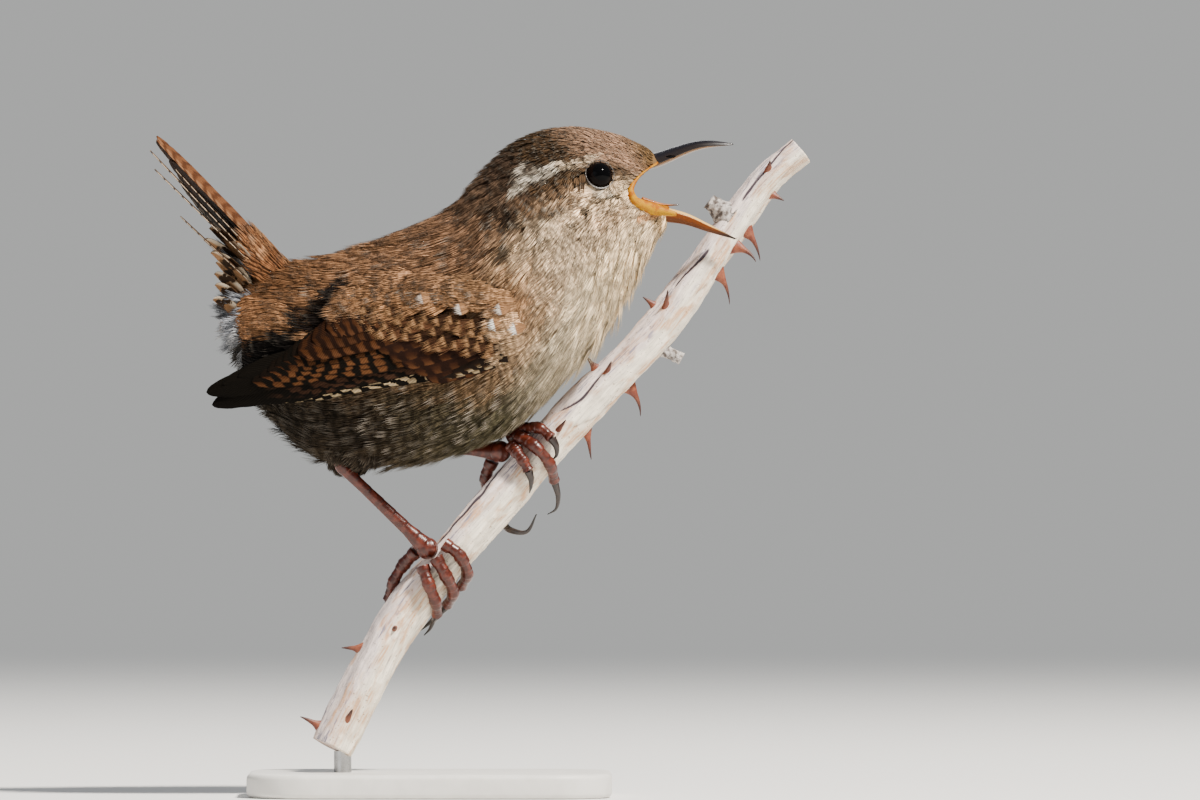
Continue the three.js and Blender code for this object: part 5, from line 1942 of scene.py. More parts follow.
    def coverts(self, bunch: Bunch) -> Piece:
        """Makes one bunch of small feathers."""
        draw = np.random.default_rng(self.seed + bunch.count)
        chance = draw.uniform(0, 1, (bunch.count, 7))
        along = bunch.start[0] + (bunch.start[1] - bunch.start[0]) * chance[:, 0]
        across = (chance[:, 1] * 2 - 1) * bunch.spread
        pale = (chance[:, 2] < bunch.pale_share)[:, None]
        tufts = Tufts(
            first=-along, second=across, long=bunch.long * (0.75 + 0.35 * chance[:, 3]),
            wide=np.full(bunch.count, bunch.wide), depth=bunch.depth * (0.7 + 0.6 * chance[:, 4]),
            turn=across * 0.05 + (chance[:, 5] - 0.5) * 0.4, loose=bunch.loose * chance[:, 4] ** 2,
            ground=np.where(pale, bunch.pale, bunch.ground),
            pattern=np.tile(bunch.pattern, (bunch.count, 1)), tone=chance[:, 3], unwrap=chance[:, :2],
        )
        level = bunch.level + bunch.thick * (chance[:, 6, None, None] - 0.5)
        face = TailFace(bunch.form, level, bunch.outward, bunch.droop)
        return tufts.piece(bunch.name, ShiftedSurface(face, bunch.depth), 13, self.seed)


# Finishes of the bare parts
@dataclass(frozen=True)
class Mottled:
    """A finish of two colours in soft patches over a fine relief, with a third colour towards the tip."""

    name: str
    base: Colour
    patch: Colour
    scale: float = 1.2
    roughness: float = 0.4
    coat: float = 0.0
    metallic: float = 0.0
    relief: float = 0.02
    relief_scale: float = 6.0
    specular: float = 0.5
    tip: Colour | None = None
    tip_from: float = 0.5
    tip_to: float = 1.0

    def material(self) -> Material:
        """Builds the material."""
        shader = Shader(
            self.name, specular_ior_level=self.specular, coat_weight=self.coat, metallic=self.metallic
        )
        place = shader.millimetres()
        patches = shader.noise(place, self.scale, 4)
        colour = shader.mix(self.base, self.patch, patches.step(0.4, 0.62))
        if self.tip is not None:
            t = shader.parts("around")[2]
            colour = shader.mix(colour, self.tip, t.step(self.tip_from, self.tip_to))
        grain = shader.noise(place, self.relief_scale, 3)
        shader.set(base_color=colour, roughness=grain * 0.2 + (self.roughness - 0.1))
        return shader.bump(grain, self.relief).material


@dataclass(frozen=True)
class BillHorn:
    """The finish of one half of the bill: horn along its back, a pale cutting edge and a pale tip."""

    name: str
    back: Colour
    side: Colour
    edge: Colour
    tip: Colour
    base: Colour
    base_end: float
    gloss: float = 0.1

    def material(self) -> Material:
        """Builds the material."""
        shader = Shader(self.name, specular_ior_level=self.gloss, coat_weight=self.gloss, coat_roughness=0.12)
        cos, _, t = shader.parts("around")
        streak = shader.noise(shader.millimetres(), 1.6, 3, (0.35, 1, 3))
        colour = shader.mix(self.edge, self.side, cos.step(-0.45, -0.15))
        colour = shader.mix(colour, self.back, (cos + streak * 0.5).step(0.55, 1.1))
        colour = shader.mix(colour, self.base, (t + streak * 0.12).step(self.base_end + 0.16, self.base_end))
        colour = shader.mix(colour, self.tip, t.step(0.68, 0.95))
        shader.set(base_color=colour, roughness=streak * 0.16 + 0.2)
        return shader.bump(streak, 0.03).material


@dataclass(frozen=True)
class EyeGlass:
    """The finish of the eye: a dark brown iris round a black pupil, under a clear wet surface."""

    name: str = "eye"
    iris: Colour = (0.004, 0.002, 0.0015)
    pupil: Colour = (0.0015, 0.0015, 0.0018)

    def material(self) -> Material:
        """Builds the material."""
        shader = Shader(self.name, roughness=0.08, specular_ior_level=0.05)
        t = shader.parts("around")[2]
        fibre = shader.noise(shader.millimetres(), 3, 2) * 0.5 + 0.7
        colour = shader.mix(shader.shade(self.iris, fibre), self.pupil, t.step(0.77, 0.79))
        return shader.set(base_color=colour).material


@dataclass(frozen=True)
class LidSkin:
    """The finish of the eyelids: dark above, whitish and beaded below."""

    name: str = "eyelid"
    dark: Colour = (0.035, 0.028, 0.024)
    pale: Colour = (0.32, 0.3, 0.28)

    def material(self) -> Material:
        """Builds the material."""
        shader = Shader(self.name, roughness=0.45)
        place = shader.millimetres()
        z = shader.parts("place")[2]
        low = (z + shader.noise(place, 2.5) * 1.2).step(EYE.z - 0.1, EYE.z - 1.3)
        shader.set(base_color=shader.mix(self.dark, self.pale, low * 0.8))
        return shader.bump(shader.noise(place, 9), 0.05).material


@dataclass(frozen=True)
class Bark:
    """The finish of the dry stem: pale grey and beige with pinkish patches, dark fissures and speckles."""

    name: str = "bark"
    cream: Colour = (0.93, 0.83, 0.68)
    pink: Colour = (0.78, 0.66, 0.62)
    tan: Colour = (0.5, 0.26, 0.12)
    grey: Colour = (0.22, 0.2, 0.24)
    fissure: Colour = (0.06, 0.045, 0.055)

    def material(self) -> Material:
        """Builds the material."""
        shader = Shader(self.name, roughness=0.75, specular_ior_level=0.2)
        around = shader.attribute("around")
        # Three millimetres round, and the stem's whole length along it.
        streaks = shader.noise(around, 1, 6, (2.6, 2.6, 14))
        fine = shader.noise(around, 1, 5, (12, 12, 40))
        patches = shader.noise(around, 1, 4, (1.6, 1.6, 22))
        specks = shader.noise(shader.millimetres(), 3, 3)
        upper = (shader.parts("around")[0] + (streaks - 0.5) * 1.4).step(-0.35, 0.45)
        colour = shader.mix(self.cream, self.pink, upper)
        colour = shader.mix(colour, self.tan, patches.step(0.47, 0.6) * fine.step(0.35, 0.6) * 0.85)
        # The grey streaks keep to the upper-left side: partly the bark's own grey patches, partly painted
        # shade on that face.
        colour = shader.mix(colour, self.grey, fine.step(0.52, 0.6) * streaks.step(0.44, 0.56) * upper)
        deep = shader.parts("relief")[0]
        crack = (deep + (fine - 0.5) * 0.9).step(0.3, 0.7)
        colour = shader.mix(colour, self.fissure, crack)
        colour = shader.mix(colour, shader.shade(self.tan, 0.35), specks.step(0.64, 0.7) * 0.7)
        shader.set(base_color=shader.shade(colour, fine.step(0.3, 0.7) * 0.4 + 0.75))
        return shader.bump(fine * 0.7 + specks * 0.3, 0.2, 0.9).material


@dataclass(frozen=True)
class LegScale:
    """The finish of the legs: red-brown horny scales with a pinkish gloss and darker seams."""

    name: str = "leg_scales"
    scale: Colour = (0.05, 0.0068, 0.0024)
    light: Colour = (0.105, 0.019, 0.009)
    seam: Colour = (0.02, 0.005, 0.003)

    def material(self) -> Material:
        """Builds the material."""
        shader = Shader(self.name, specular_ior_level=0.35, coat_weight=0.25, coat_roughness=0.2)
        place = shader.millimetres()
        mottle = shader.noise(place, 1.1, 4)
        deep = shader.parts("relief")[0]
        colour = shader.mix(self.scale, self.light, mottle.step(0.42, 0.66))
        colour = shader.mix(colour, self.seam, deep.step(0.25, 0.9) * 0.85)
        grain = shader.noise(place, 8, 2)
        shader.set(base_color=colour, roughness=grain * 0.25 + 0.22)
        return shader.bump(grain, 0.03).material


UPPER_HORN = BillHorn(
    "upper_horn", (0.006, 0.0055, 0.008), (0.011, 0.008, 0.008), (0.2, 0.11, 0.05), (0.03, 0.028, 0.03),
    (0.02, 0.012, 0.008), 0.1, 0.22,
)
LOWER_HORN = BillHorn(
    "lower_horn", (0.09, 0.025, 0.004), (0.17, 0.038, 0), (0.64, 0.4, 0.13), (0.02, 0.011, 0.008),
    (0.4, 0.16, 0), 0.18,
)
GAPE_FLESH = Mottled("gape_flesh", (0.36, 0.13, 0), (0.2, 0.045, 0), 0.9, 0.6, specular=0.1)
GAPE_RIM = Mottled("gape_rim", (0.42, 0.2, 0), (0.3, 0.085, 0), 0.9, 0.5, relief=0.06, specular=0.15)
TONGUE_FLESH = Mottled(
    "tongue_flesh", (0.38, 0.12, 0.01), (0.26, 0.08, 0.01), 1, 0.45, 0.1, tip=(0.02, 0.014, 0.014)
)
CLAW_HORN = Mottled(
    "claw_horn", (0.022, 0.011, 0.008), (0.012, 0.007, 0.005), 1.5, 0.35, 0.2, tip=(0.006, 0.005, 0.005)
)
THORN_HORN = Mottled(
    "thorn_horn", (0.22, 0.06, 0.024), (0.14, 0.026, 0.01), 1, 0.5, relief=0.04, tip=(0.04, 0.01, 0.006),
    tip_from=0.3, tip_to=0.85,
)
DEAD_WOOD = Mottled("dead_wood", (0.46, 0.42, 0.39), (0.09, 0.07, 0.06), 1.3, 0.8, relief=0.2, relief_scale=4)
STAND_PAINT = Mottled("stand_paint", (0.72, 0.7, 0.66), (0.68, 0.66, 0.62), 0.3, 0.5, relief=0.01)
STAND_STEEL = Mottled("stand_steel", (0.5, 0.5, 0.5), (0.42, 0.42, 0.42), 0.6, 0.3, metallic=1)


# The head's bare parts
@dataclass
class Eye:
    """One eye and the ring of its lids."""

    side: Side
    bulge: float = 0.12
    beads: int = 30
    bead_size: float = 0.05

    def build(self) -> None:
        """Makes and dresses the eye and its lids."""
        label = self.side.label
        eye = formed_ball(f"eyeball_{label}", 64, 40, self.ball)
        finish_piece(eye, EyeGlass(), "eye", f"eye_{label}")
        finish_piece(self.lids(f"eyelids_{label}"), LidSkin(), "crown_feathers", "head")

    def ball(self, t: Array, angle: Array) -> Array:
        """Points of the eyeball, whose second pole looks outwards."""
        axis = EYE.axis(self.side)
        across = unit(np.cross(axis, [0, 0, 1]))
        up = np.cross(across, axis)
        ring = np.sin(math.pi * t)[:, None]
        front = -np.cos(math.pi * t)[:, None]
        swell = 1 + self.bulge * smooth(0.7, 1, t)[:, None] * 0.5
        round_it = across * np.sin(angle)[:, None] + up * np.cos(angle)[:, None]
        return EYE.centre(self.side) + EYE.radius * (axis * front * swell + round_it * ring)

    def lids(self, name: str) -> Piece:
        """Makes the ring of the lids under a name."""
        axis = Vector(EYE.axis(self.side))
        sizes = {"major_radius": EYE.lid_ring, "minor_radius": EYE.lid_thick}
        piece = added(name, "torus", major_segments=120, minor_segments=16, **sizes)
        ring = read_points(piece)
        round_it = np.arctan2(ring[:, 1], ring[:, 0])
        centre = np.stack([np.cos(round_it), np.sin(round_it), np.zeros(len(ring))], axis=-1) * EYE.lid_ring
        bead = 1 + self.bead_size * 4 * np.sin(self.beads * round_it)
        ring = centre + (ring - centre) * bead[:, None] * np.array([0.75, 0.75, 1])
        turn = np.array(Vector((0, 0, 1)).rotation_difference(axis).to_matrix())
        write_points(piece, (ring @ turn.T + EYE.centre(self.side) + np.array(axis) * EYE.lid_out) * MM)
        face_outwards(piece)
        return soften(piece)


@dataclass(frozen=True)
class BillHalf:
    """One half of the bill: its line in side view, its size and which side of it is round."""

    node: str
    line: tuple[Point2, ...]
    depth: float
    width: float
    outward: int
    finish: BillHorn
    slot: str
    tip: float = 0.16
    taper: float = 0.72
    ridge: float = 0.14
    lip: float = 0.1

    def surface(self, curve: Curve) -> Form:
        """The placing of the half's surface for formed_ball; angle 0 is its rounded back."""

        def place(t: Array, angle: Array) -> Array:
            """Points of the half."""
            along = curve.tangent(t)
            up = np.stack([-along[:, 2], np.zeros(len(t)), along[:, 0]], axis=-1) * self.outward
            share = np.maximum(1 - t, 0) ** self.taper * smooth(-0.03, 0.02, t)
            wide = np.maximum(self.tip * smooth(0, 0.02, 1 - t), self.width / 2 * share)
            deep = np.maximum(self.tip * smooth(0, 0.02, 1 - t), self.depth / 2 * share)
            cos, sin = np.cos(angle), np.sin(angle)
            rounded = np.where(cos > 0, 1.225 + self.ridge * np.maximum(cos, 0) ** 12, 0.55)
            rim = 1 + self.lip * np.exp(-((cos + 0.1) / 0.22) ** 2)
            across = np.zeros((len(t), 3))
            across[:, 1] = wide * sin * rim
            return curve.at(t) + up * (deep * cos * rounded)[:, None] + across

        return place

    def build(self) -> Piece:
        """Makes and dresses this half."""
        curve = Curve([(x, 0, z) for x, z in self.line])
        piece = formed_ball(f"{self.node}_horn", 48, 70, self.surface(curve))
        return finish_piece(piece, self.finish, self.slot, self.node)


@dataclass
class Bill:
    """The open bill with its nostrils, the lining of the mouth, its fleshy rim and the tongue."""

    body: BodyForm
    upper: BillHalf = BillHalf(
        "bill_upper", ((30.6, 90), (32.6, 90.5), (38.4, 92.7), (43.4, 93.1)), 2.5, 3.3, 1, UPPER_HORN,
        "bill_horn", tip=0.2, taper=0.6,
    )
    lower: BillHalf = BillHalf(
        "bill_lower", ((30.2, 83.9), (33, 83.6), (36.6, 82.8), (39.6, 81.5), (43.8, 79.6)), 2.7, 3, -1,
        LOWER_HORN, "bill_pale",
    )
    nostril: Point3 = (34.4, 1.3, 91.35)
    nostril_size: Point3 = (0.72, 0.35, 0.2)
    tongue_line: tuple[Point3, ...] = ((30.2, 0, 85.4), (33.4, 0, 84.5), (35.6, 0, 84.5))
    # The fleshy rim in side view with its radius, from the palate round the corner to the jaw.
    rim_line: tuple[Point3, ...] = (
        (32.4, 90.3, 0.1), (30.5, 89.05, 0.1), (29.25, 87.7, 0.14), (28.7, 86.4, 0.34), (29.2, 85, 0.62),
        (30.6, 84.25, 0.8), (32.4, 83.7, 0.92), (34.2, 83.3, 0.6), (35.2, 83.1, 0.3),
    )

    def build(self) -> None:
        """Makes and dresses all of it."""
        horn = self.upper.build()
        for side in Side:
            cut(horn, self.nostril_tool(side))
        soften(horn, 60)
        self.lower.build()
        finish_piece(self.lining(), GAPE_FLESH, "mouth", "gape")
        for side in Side:
            rim = tube(f"gape_rim_{side.label}", self.rim(side), self.rim_radius, 16, 48)
            finish_piece(rim, GAPE_RIM, "mouth", "gape")
        tongue = formed_ball("tongue_flesh", 24, 30, self.tongue)
        finish_piece(tongue, TONGUE_FLESH, "mouth", "tongue")

    def nostril_tool(self, side: Side) -> Piece:
        """The slit that one nostril cuts into the horn."""
        x, y, z = self.nostril
        place = np.array([x, side.value * y, z]) * MM
        size = np.array(self.nostril_size) * MM
        return added("nostril", "uv_sphere", segments=24, ring_count=12, location=place, scale=size)

    def lining(self) -> Piece:
        """The flesh of the open mouth: a thin layer over both faces of the gape."""
        flesh = formed_ball("gape_flesh", 72, 90, lambda t, angle: self.body.point(t, angle, MOUTH.proud))
        cut(flesh, MOUTH.wedge(-0.2), "INTERSECT")
        cut(flesh, MOUTH.wedge(MOUTH.flesh()))
        return soften(flesh, 40)

    def rim(self, side: Side) -> Curve:
        """The line of the fleshy rim on one side, from the palate round the corner to the jaw."""
        x, z, thick = np.array(self.rim_line).T
        flank = np.maximum(self.body.flank(np.minimum(x, 31.8), z), 1.6)
        return Curve(list(zip(x, side.value * (flank - 0.4 * thick), z)))

    def rim_radius(self, share: Array, angle: Array) -> Array:
        """The rim's radius."""
        along = np.linspace(0, 1, len(self.rim_line))
        return np.interp(share, along, [row[2] for row in self.rim_line])

    def tongue(self, t: Array, angle: Array) -> Array:
        """Points of the tongue."""
        curve = Curve(self.tongue_line)
        wide = 0.75 * np.sqrt(np.maximum(1 - t, 0)) * smooth(-0.02, 0.02, t)
        points = curve.at(t)
        points[:, 1] += wide * np.sin(angle)
        points[:, 2] += 0.28 * (1 - 0.6 * t) * np.cos(angle) * smooth(0, 0.02, 1 - t) * smooth(-0.02, 0.02, t)
        return points


# The stem and its thorns
class Lattice:
    """Smooth random relief over two numbers, the first of which goes round."""

    def __init__(self, seed: int, cells_round: int, cells_along: int) -> None:
        """Draws the lattice, with so many cells in a turn and from end to end."""
        draw = np.random.default_rng(seed)
        self.knots = draw.uniform(-1, 1, (cells_round, cells_along + 2))

    def read(self, turn: Array, along: Array) -> Array:
        """The relief from -1 to 1 at radians round and shares along."""
        rounds, cells = self.knots.shape
        u = turn / (2 * math.pi) * rounds
        v = np.clip(along, 0, 0.9999) * (cells - 2)
        i, j = np.floor(u).astype(int), np.floor(v).astype(int)
        su, sv = smooth(0, 1, u - i), smooth(0, 1, v - j)
        i, after = i % rounds, (i + 1) % rounds
        low = self.knots[i, j] * (1 - su) + self.knots[after, j] * su
        high = self.knots[i, j + 1] * (1 - su) + self.knots[after, j + 1] * su
        return low * (1 - sv) + high * sv


@dataclass(frozen=True)
class Thorn:
    """A thorn by its place along and round the stem, its length, how it leans and how it hooks."""

    along: float
    angle: float
    long: float
    lean: float
    hook: float


@dataclass
class Stem:
    """The cut length of dry stem that the bird grips, with its thorns, a stub and a dead bud."""

    line: Curve = field(default_factory=lambda: Curve((
        (-13.8, -3.9, 7), (-7.6, -2.4, 19.4), (-3.2, -1.5, 26.7), (10.7, 0.5, 43.3), (21.9, 2, 55.7),
        (32.7, 3.4, 66.6), (40.6, 4.7, 77.7), (48.2, 6, 88.2), (53, 6.5, 92.4),
    ), 2000))
    radii: tuple[float, ...] = (3, 3.1, 3, 2.9, 2.95, 2.75, 2.7, 2.25, 2.1)
    ridges: int = 5
    ridge_deep: float = 0.06
    ridge_twist: float = 9.0
    knot_deep: float = 0.04
    thorn_root: float = 0.95
    thorn_tip: float = 0.06
    thorns: tuple[Thorn, ...] = (
        Thorn(1.9, 6, 3.2, 0.1, 0.2), Thorn(4.6, 92, 0.8, 1.6, 0), Thorn(14.5, 4, 2.2, -0.5, 0.2),
        Thorn(19, 90, 0.6, 0.2, 0), Thorn(55.6, 84, 1.6, 1.2, 0), Thorn(59.2, 178, 3.2, -0.8, 0.3),
        Thorn(66, 14, 2.1, 0.1, 0), Thorn(66.6, 66, 1.6, 0.9, 0), Thorn(67.8, 182, 4.1, 0.1, 1.1),
        Thorn(78.8, 8, 2.1, 0.1, 0.2), Thorn(79.3, 60, 2.2, 1, 0), Thorn(88.2, 178, 3.6, -0.2, 1.3),
        Thorn(92.4, 158, 3.8, 0.4, 0.9), Thorn(95.6, 176, 3.9, -0.2, 1), Thorn(101.8, 166, 1.8, 0.4, 0.2),
        Thorn(104.2, 62, 1.2, 0.7, 0),
    )
    sides: int = 72
    rings: int = 520

    def radius(self, share: Array) -> Array:
        """The stem's mean radius at shares of its length."""
        return np.interp(share, np.linspace(0, 1, len(self.radii)), self.radii)

    def beside(self, along: float, angle: float, away: float) -> Array:
        """The point at a distance from the stem's middle.

        Args:
            along: How far along the stem, in millimetres.
            angle: Degrees from its upper side towards the camera.
            away: The distance.

        Returns:
            The point.
        """
        share = np.array([along / self.line.length])
        tangent = self.line.tangent(share)[0]
        upper = unit(np.array([-tangent[2], 0, tangent[0]]))
        near = np.cross(tangent, upper)
        near = near if near[1] < 0 else -near
        turn = math.radians(angle)
        return self.line.at(share)[0] + (upper * math.cos(turn) + near * math.sin(turn)) * away

    def fissures(self, share: Array, angle: Array) -> Array:
        """How deep the bark's furrows are at places, from 0 to 1."""
        wander = Lattice(5, 3, 16).read(angle * 0, share) * 0.5
        broken = smooth(-0.35, 0.25, Lattice(6, 2, 14).read(angle, share))
        lines = np.zeros(np.shape(share))
        for start, strength in ((0.75, 1), (2.1, 0.5), (-0.7, 0.6), (-2.4, 0.7)):
            off = (angle - start - wander + math.pi) % (2 * math.pi) - math.pi
            lines = np.maximum(lines, strength * np.exp(-((off / 0.1) ** 2)))
        return lines * broken

    def bark_radius(self, share: Array, angle: Array) -> Array:
        """The radius with ridges, knots and furrows."""
        ridge = 1 + self.ridge_deep * np.cos(self.ridges * angle + self.ridge_twist * share)
        knot = 1 + self.knot_deep * np.sin(37 * share + 2 * angle)
        coarse = 0.07 * Lattice(1, 9, 60).read(angle, share) + 0.045 * Lattice(2, 24, 120).read(angle, share)
        fine = 0.03 * Lattice(3, 60, 160).read(angle, share)
        return self.radius(share) * ridge * knot + coarse + fine - 0.28 * self.fissures(share, angle)

    def build(self) -> None:
        """Makes and dresses the stem."""
        bark = tube("stem_bark", self.line, self.bark_radius, self.sides, self.rings, (-1, 0, 0.5))
        write_relief(bark, self.fissures)
        finish_piece(bark, Bark(), "bark", "perch_stem")
        thorns = [formed_ball(f"thorn_{k}", 20, 24, self.thorn(thorn)) for k, thorn in enumerate(self.thorns)]
        finish_piece(join("stem_thorns", thorns), THORN_HORN, "bark", "perch_stem")
        stub = self.shoot("stem_stub", 95.6, 8, 2.5, 0.1, 2.4, 1.1)
        bud = self.shoot("dead_bud", 74.6, 178, 2.5, 0.35, 1.2, 0.9)
        finish_piece(stub, DEAD_WOOD, "bark", "perch_stem")
        finish_piece(bud, DEAD_WOOD, "bark", "perch_stem")

    def thorn(self, thorn: Thorn) -> Form:
        """The placing of a thorn's surface for formed_ball."""
        out = float(self.radius(np.array(thorn.along / self.line.length)))
        lean = thorn.lean * thorn.long
        points = (
            self.beside(thorn.along - thorn.lean, thorn.angle, out - 1.2),
            self.beside(thorn.along + lean * 0.7, thorn.angle, out + thorn.long / 2),
            self.beside(thorn.along + lean - thorn.hook / 2 * thorn.long, thorn.angle, out + thorn.long),
        )
        stem_way = self.line.tangent(np.array([thorn.along / self.line.length]))[0]
        out_way = unit(points[2] - points[0])
        side_way = unit(np.cross(stem_way, out_way))

        def place(t: Array, angle: Array) -> Array:
            """Points of the thorn, which is longer along the stem than across it."""
            s = t[:, None]
            spine = points[0] * (1 - s) ** 2 + points[1] * 2 * s * (1 - s) + points[2] * s**2
            size = self.thorn_root + (self.thorn_tip - self.thorn_root) * t**0.6
            size = size * smooth(0, 0.02, t) * smooth(0, 0.03, 1 - t)
            flare = 1 + 0.9 * (1 - smooth(0.1, 0.5, t))
            long_way = (size * flare * np.cos(angle))[:, None] * stem_way
            return spine + long_way + (size * 0.85 * np.sin(angle))[:, None] * side_way

        return place

    def shoot(
        self, name: str, along: float, angle: float, long: float, lean: float, root: float, tip: float
    ) -> Piece:
        """Makes a short dead side shoot.

        Args:
            name: The piece's name.
            along: How far along the stem it grows.
            angle: Degrees round the stem.
            long: Its length.
            lean: How far it leans along the stem, as a share of its length.
            root: Its radius at the root.
            tip: Its radius at the tip.

        Returns:
            The piece.
        """
        out = float(self.radius(np.array(along / self.line.length)))
        start = self.beside(along, angle, out - 1.2)
        end = self.beside(along + lean * long, angle, out + long)
        rough = Lattice(len(name), 9, 8)

        def radius(share: Array, turn: Array) -> Array:
            """The shoot's rough radius, flared where it joins the stem."""
            return (tip + (root - tip) * (1 - share) ** 2) * (1 + 0.2 * rough.read(turn, share))

        return tube(name, Curve([start, (start + end) / 2, end]), radius, 28, 26, (0, 1, 0))


def write_relief(piece: Piece, relief: Form) -> None:
    """Stores how deep a relief is on a tube's vertices, as its attribute relief.

    Args:
        piece: The tube.
        relief: Gives the depth for shares of its length and angles round it.
    """
    around = np.zeros(len(piece.data.vertices) * 3, np.float32)
    piece.data.attributes["around"].data.foreach_get("vector", around)
    cos, sin, t = around.reshape(-1, 3).T
    deep = relief(t, np.arctan2(sin, cos))
    store(piece.data, "relief", np.column_stack([deep, deep, deep]))


# Legs and feet
@dataclass(frozen=True)
class Toe:
    """A toe and its claw, as points beside the stem: along it, round it and away from its middle."""

    path: tuple[Point3, ...]
    claw: tuple[Point3, ...]


@dataclass(frozen=True)
class Leg:
    """One leg: its heel, the pad of its foot beside the stem, and its four toes."""

    side: Side
    heel: Point3
    pad: Point3
    toes: tuple[Toe, ...]


LEGS = (
    Leg(Side.RIGHT, (-12.6, -5.6, 47.2), (30.8, 44, 4.5), (
        Toe(((29.6, 20, 4.4), (27.2, -2, 4.3), (24.6, -16, 4.1), (22.2, -40, 3.9)),
            ((20.9, -64, 4), (19.8, -92, 4.1), (19.4, -122, 3.9))),
        Toe(((32.8, 66, 4.5), (33, 100, 4.2), (31.9, 146, 4.1), (30, 190, 4.1)),
            ((28.9, 214, 4), (27.6, 240, 4), (26.8, 262, 3.7))),
        Toe(((30.5, 72, 4.7), (29.6, 102, 4.5), (28.4, 148, 4.3), (26.6, 190, 4.2)),
            ((24.8, 204, 4.3), (22.8, 212, 4.3), (20.9, 216, 3.8))),
        Toe(((28.4, 62, 4.4), (27, 92, 4.1), (25.6, 130, 4), (24.4, 166, 4)),
            ((23.4, 186, 4), (22.2, 190, 4.3), (20.8, 188, 4.1))),
    )),
    Leg(Side.LEFT, (-8.6, 7.6, 50.6), (48.2, 8, 4.5), (
        Toe(((46.6, -14, 4.5), (44.4, -34, 4.2), (42.6, -78, 4), (41.2, -124, 4)),
            ((40.9, -158, 4.3), (42.2, -176, 6), (45, -184, 5.4))),
        Toe(((49.8, 32, 4.5), (49.4, 62, 4.2), (49, 82, 4), (48.6, 96, 3.9)),
            ((48, 112, 3.9), (47.2, 124, 3.9), (46.4, 136, 3.7))),
        Toe(((51.4, 30, 4.6), (51.8, 74, 4.3), (51.4, 118, 4.2), (50.2, 166, 4.3)),
            ((48.9, 178, 6.1), (47.4, 180, 7), (46, 181, 6.6))),
        Toe(((50.6, -2, 4.5), (53, 22, 4.2), (54.3, 56, 4), (54.3, 86, 4)),
            ((53.9, 104, 4.1), (53, 118, 4.1), (52.1, 122, 3.7))),
    )),
)


@dataclass
class Legs:
    """Both legs with their feet, made of scaled tubes that grip the stem."""

    stem: Stem
    heel: float = 0.9
    shin: float = 0.76
    ankle: float = 0.9
    pad: float = 1.55
    toe_root: float = 0.98
    toe_tip: float = 0.72
    claw_root: float = 0.58
    claw_tip: float = 0.07
    scutes: int = 9
    gap: float = 0.1

    def build(self) -> None:
        """Makes and dresses legs, toes and claws."""
        for leg in LEGS:
            label = leg.side.label
            finish_piece(self.shank(leg), LegScale(), "leg_skin", f"leg_{label}")
            for number, toe in enumerate(leg.toes, 1):
                path = Curve([self.stem.beside(*place) for place in toe.path])
                piece = tube(f"toe_{label}_{number}_scales", path, self.toe_radius, 24, 84)
                write_relief(piece, self.seams)
                finish_piece(piece, LegScale(), "leg_skin", f"toe_{label}_{number}")
                claw = self.claw(f"claw_{label}_{number}_horn", path, toe)
                finish_piece(claw, CLAW_HORN, "claw_horn", f"claw_{label}_{number}")

    def shank(self, leg: Leg) -> Piece:
        """Makes the bare lower leg and the pad of the foot."""
        heel, pad = np.array(leg.heel), self.stem.beside(*leg.pad)
        up_the_thigh = heel + np.array([-0.2, -0.12 * leg.side.value * 3, 4])
        line = Curve([up_the_thigh, heel, *(heel + (pad - heel) * share for share in (0.07, 0.5, 0.88, 1))])
        shank = tube(f"leg_{leg.side.label}_scales", line, self.shank_radius, 32, 120, (1, 0, 0.3))
        write_relief(shank, self.seams)
        palm = formed_ball("palm", 28, 20, lambda t, angle: self.palm(pad, t, angle))
        write_relief(palm, lambda t, angle: 0 * t)
        return join(f"leg_{leg.side.label}_scales", [shank, palm])

    def palm(self, pad: Array, t: Array, angle: Array) -> Array:
        """Points of the pad of the foot."""
        ring, pole = np.sin(math.pi * t), -np.cos(math.pi * t)
        knobs = 1 + 0.07 * np.sin(7 * angle) * ring
        ball = np.stack([ring * np.cos(angle), ring * np.sin(angle), pole], axis=-1)
        return pad + ball * (self.pad * knobs)[:, None]

    def shank_radius(self, share: Array, angle: Array) -> Array:
        """The lower leg's radius: overlapping scales in front, smooth behind."""
        along = (0, 0.12, 0.4, 0.82, 1)
        radius = np.interp(share, along, (1.1, self.heel, self.shin, self.ankle, self.pad * 0.9))
        front = smooth(-0.3, 0.5, np.cos(angle))
        step = (share * self.scutes) % 1.0
        return radius * (1 + front * 0.075 * (step - 0.5) + 0.04 * np.cos(2 * angle))

    def toe_radius(self, share: Array, angle: Array) -> Array:
        """A toe's radius: pads beneath and scales above."""
        radius = self.toe_root + (self.toe_tip - self.toe_root) * share
        pads = 1 + 0.09 * np.cos(share * 6 * math.pi)
        step = (share * self.scutes) % 1.0
        return radius * pads * (1 + 0.12 * (step - 0.5))

    def seams(self, share: Array, angle: Array) -> Array:
        """Where the seams between the scales are, from 0 to 1."""
        step = (share * self.scutes) % 1.0
        return (1 - smooth(0, 0.12, np.minimum(step, 1 - step))) * smooth(-0.4, 0.4, np.cos(angle))

    def claw(self, name: str, path: Curve, toe: Toe) -> Piece:
        """Makes a claw, deeper than it is wide.

        Args:
            name: The piece's name.
            path: The toe's line.
            toe: The toe.

        Returns:
            The piece.
        """
        first = self.stem.beside(*toe.claw[0])
        end = path.at(np.array([1]))[0]
        start = end + (first - end) * self.gap / np.linalg.norm(first - end)
        line = Curve([start, *(self.stem.beside(*place) for place in toe.claw)])

        def radius(share: Array, angle: Array) -> Array:
            """The claw's radius."""
            mean = self.claw_root + (self.claw_tip - self.claw_root) * share
            return mean * (1 + 0.15 * np.cos(2 * angle))

        return tube(name, line, radius, 20, 40)


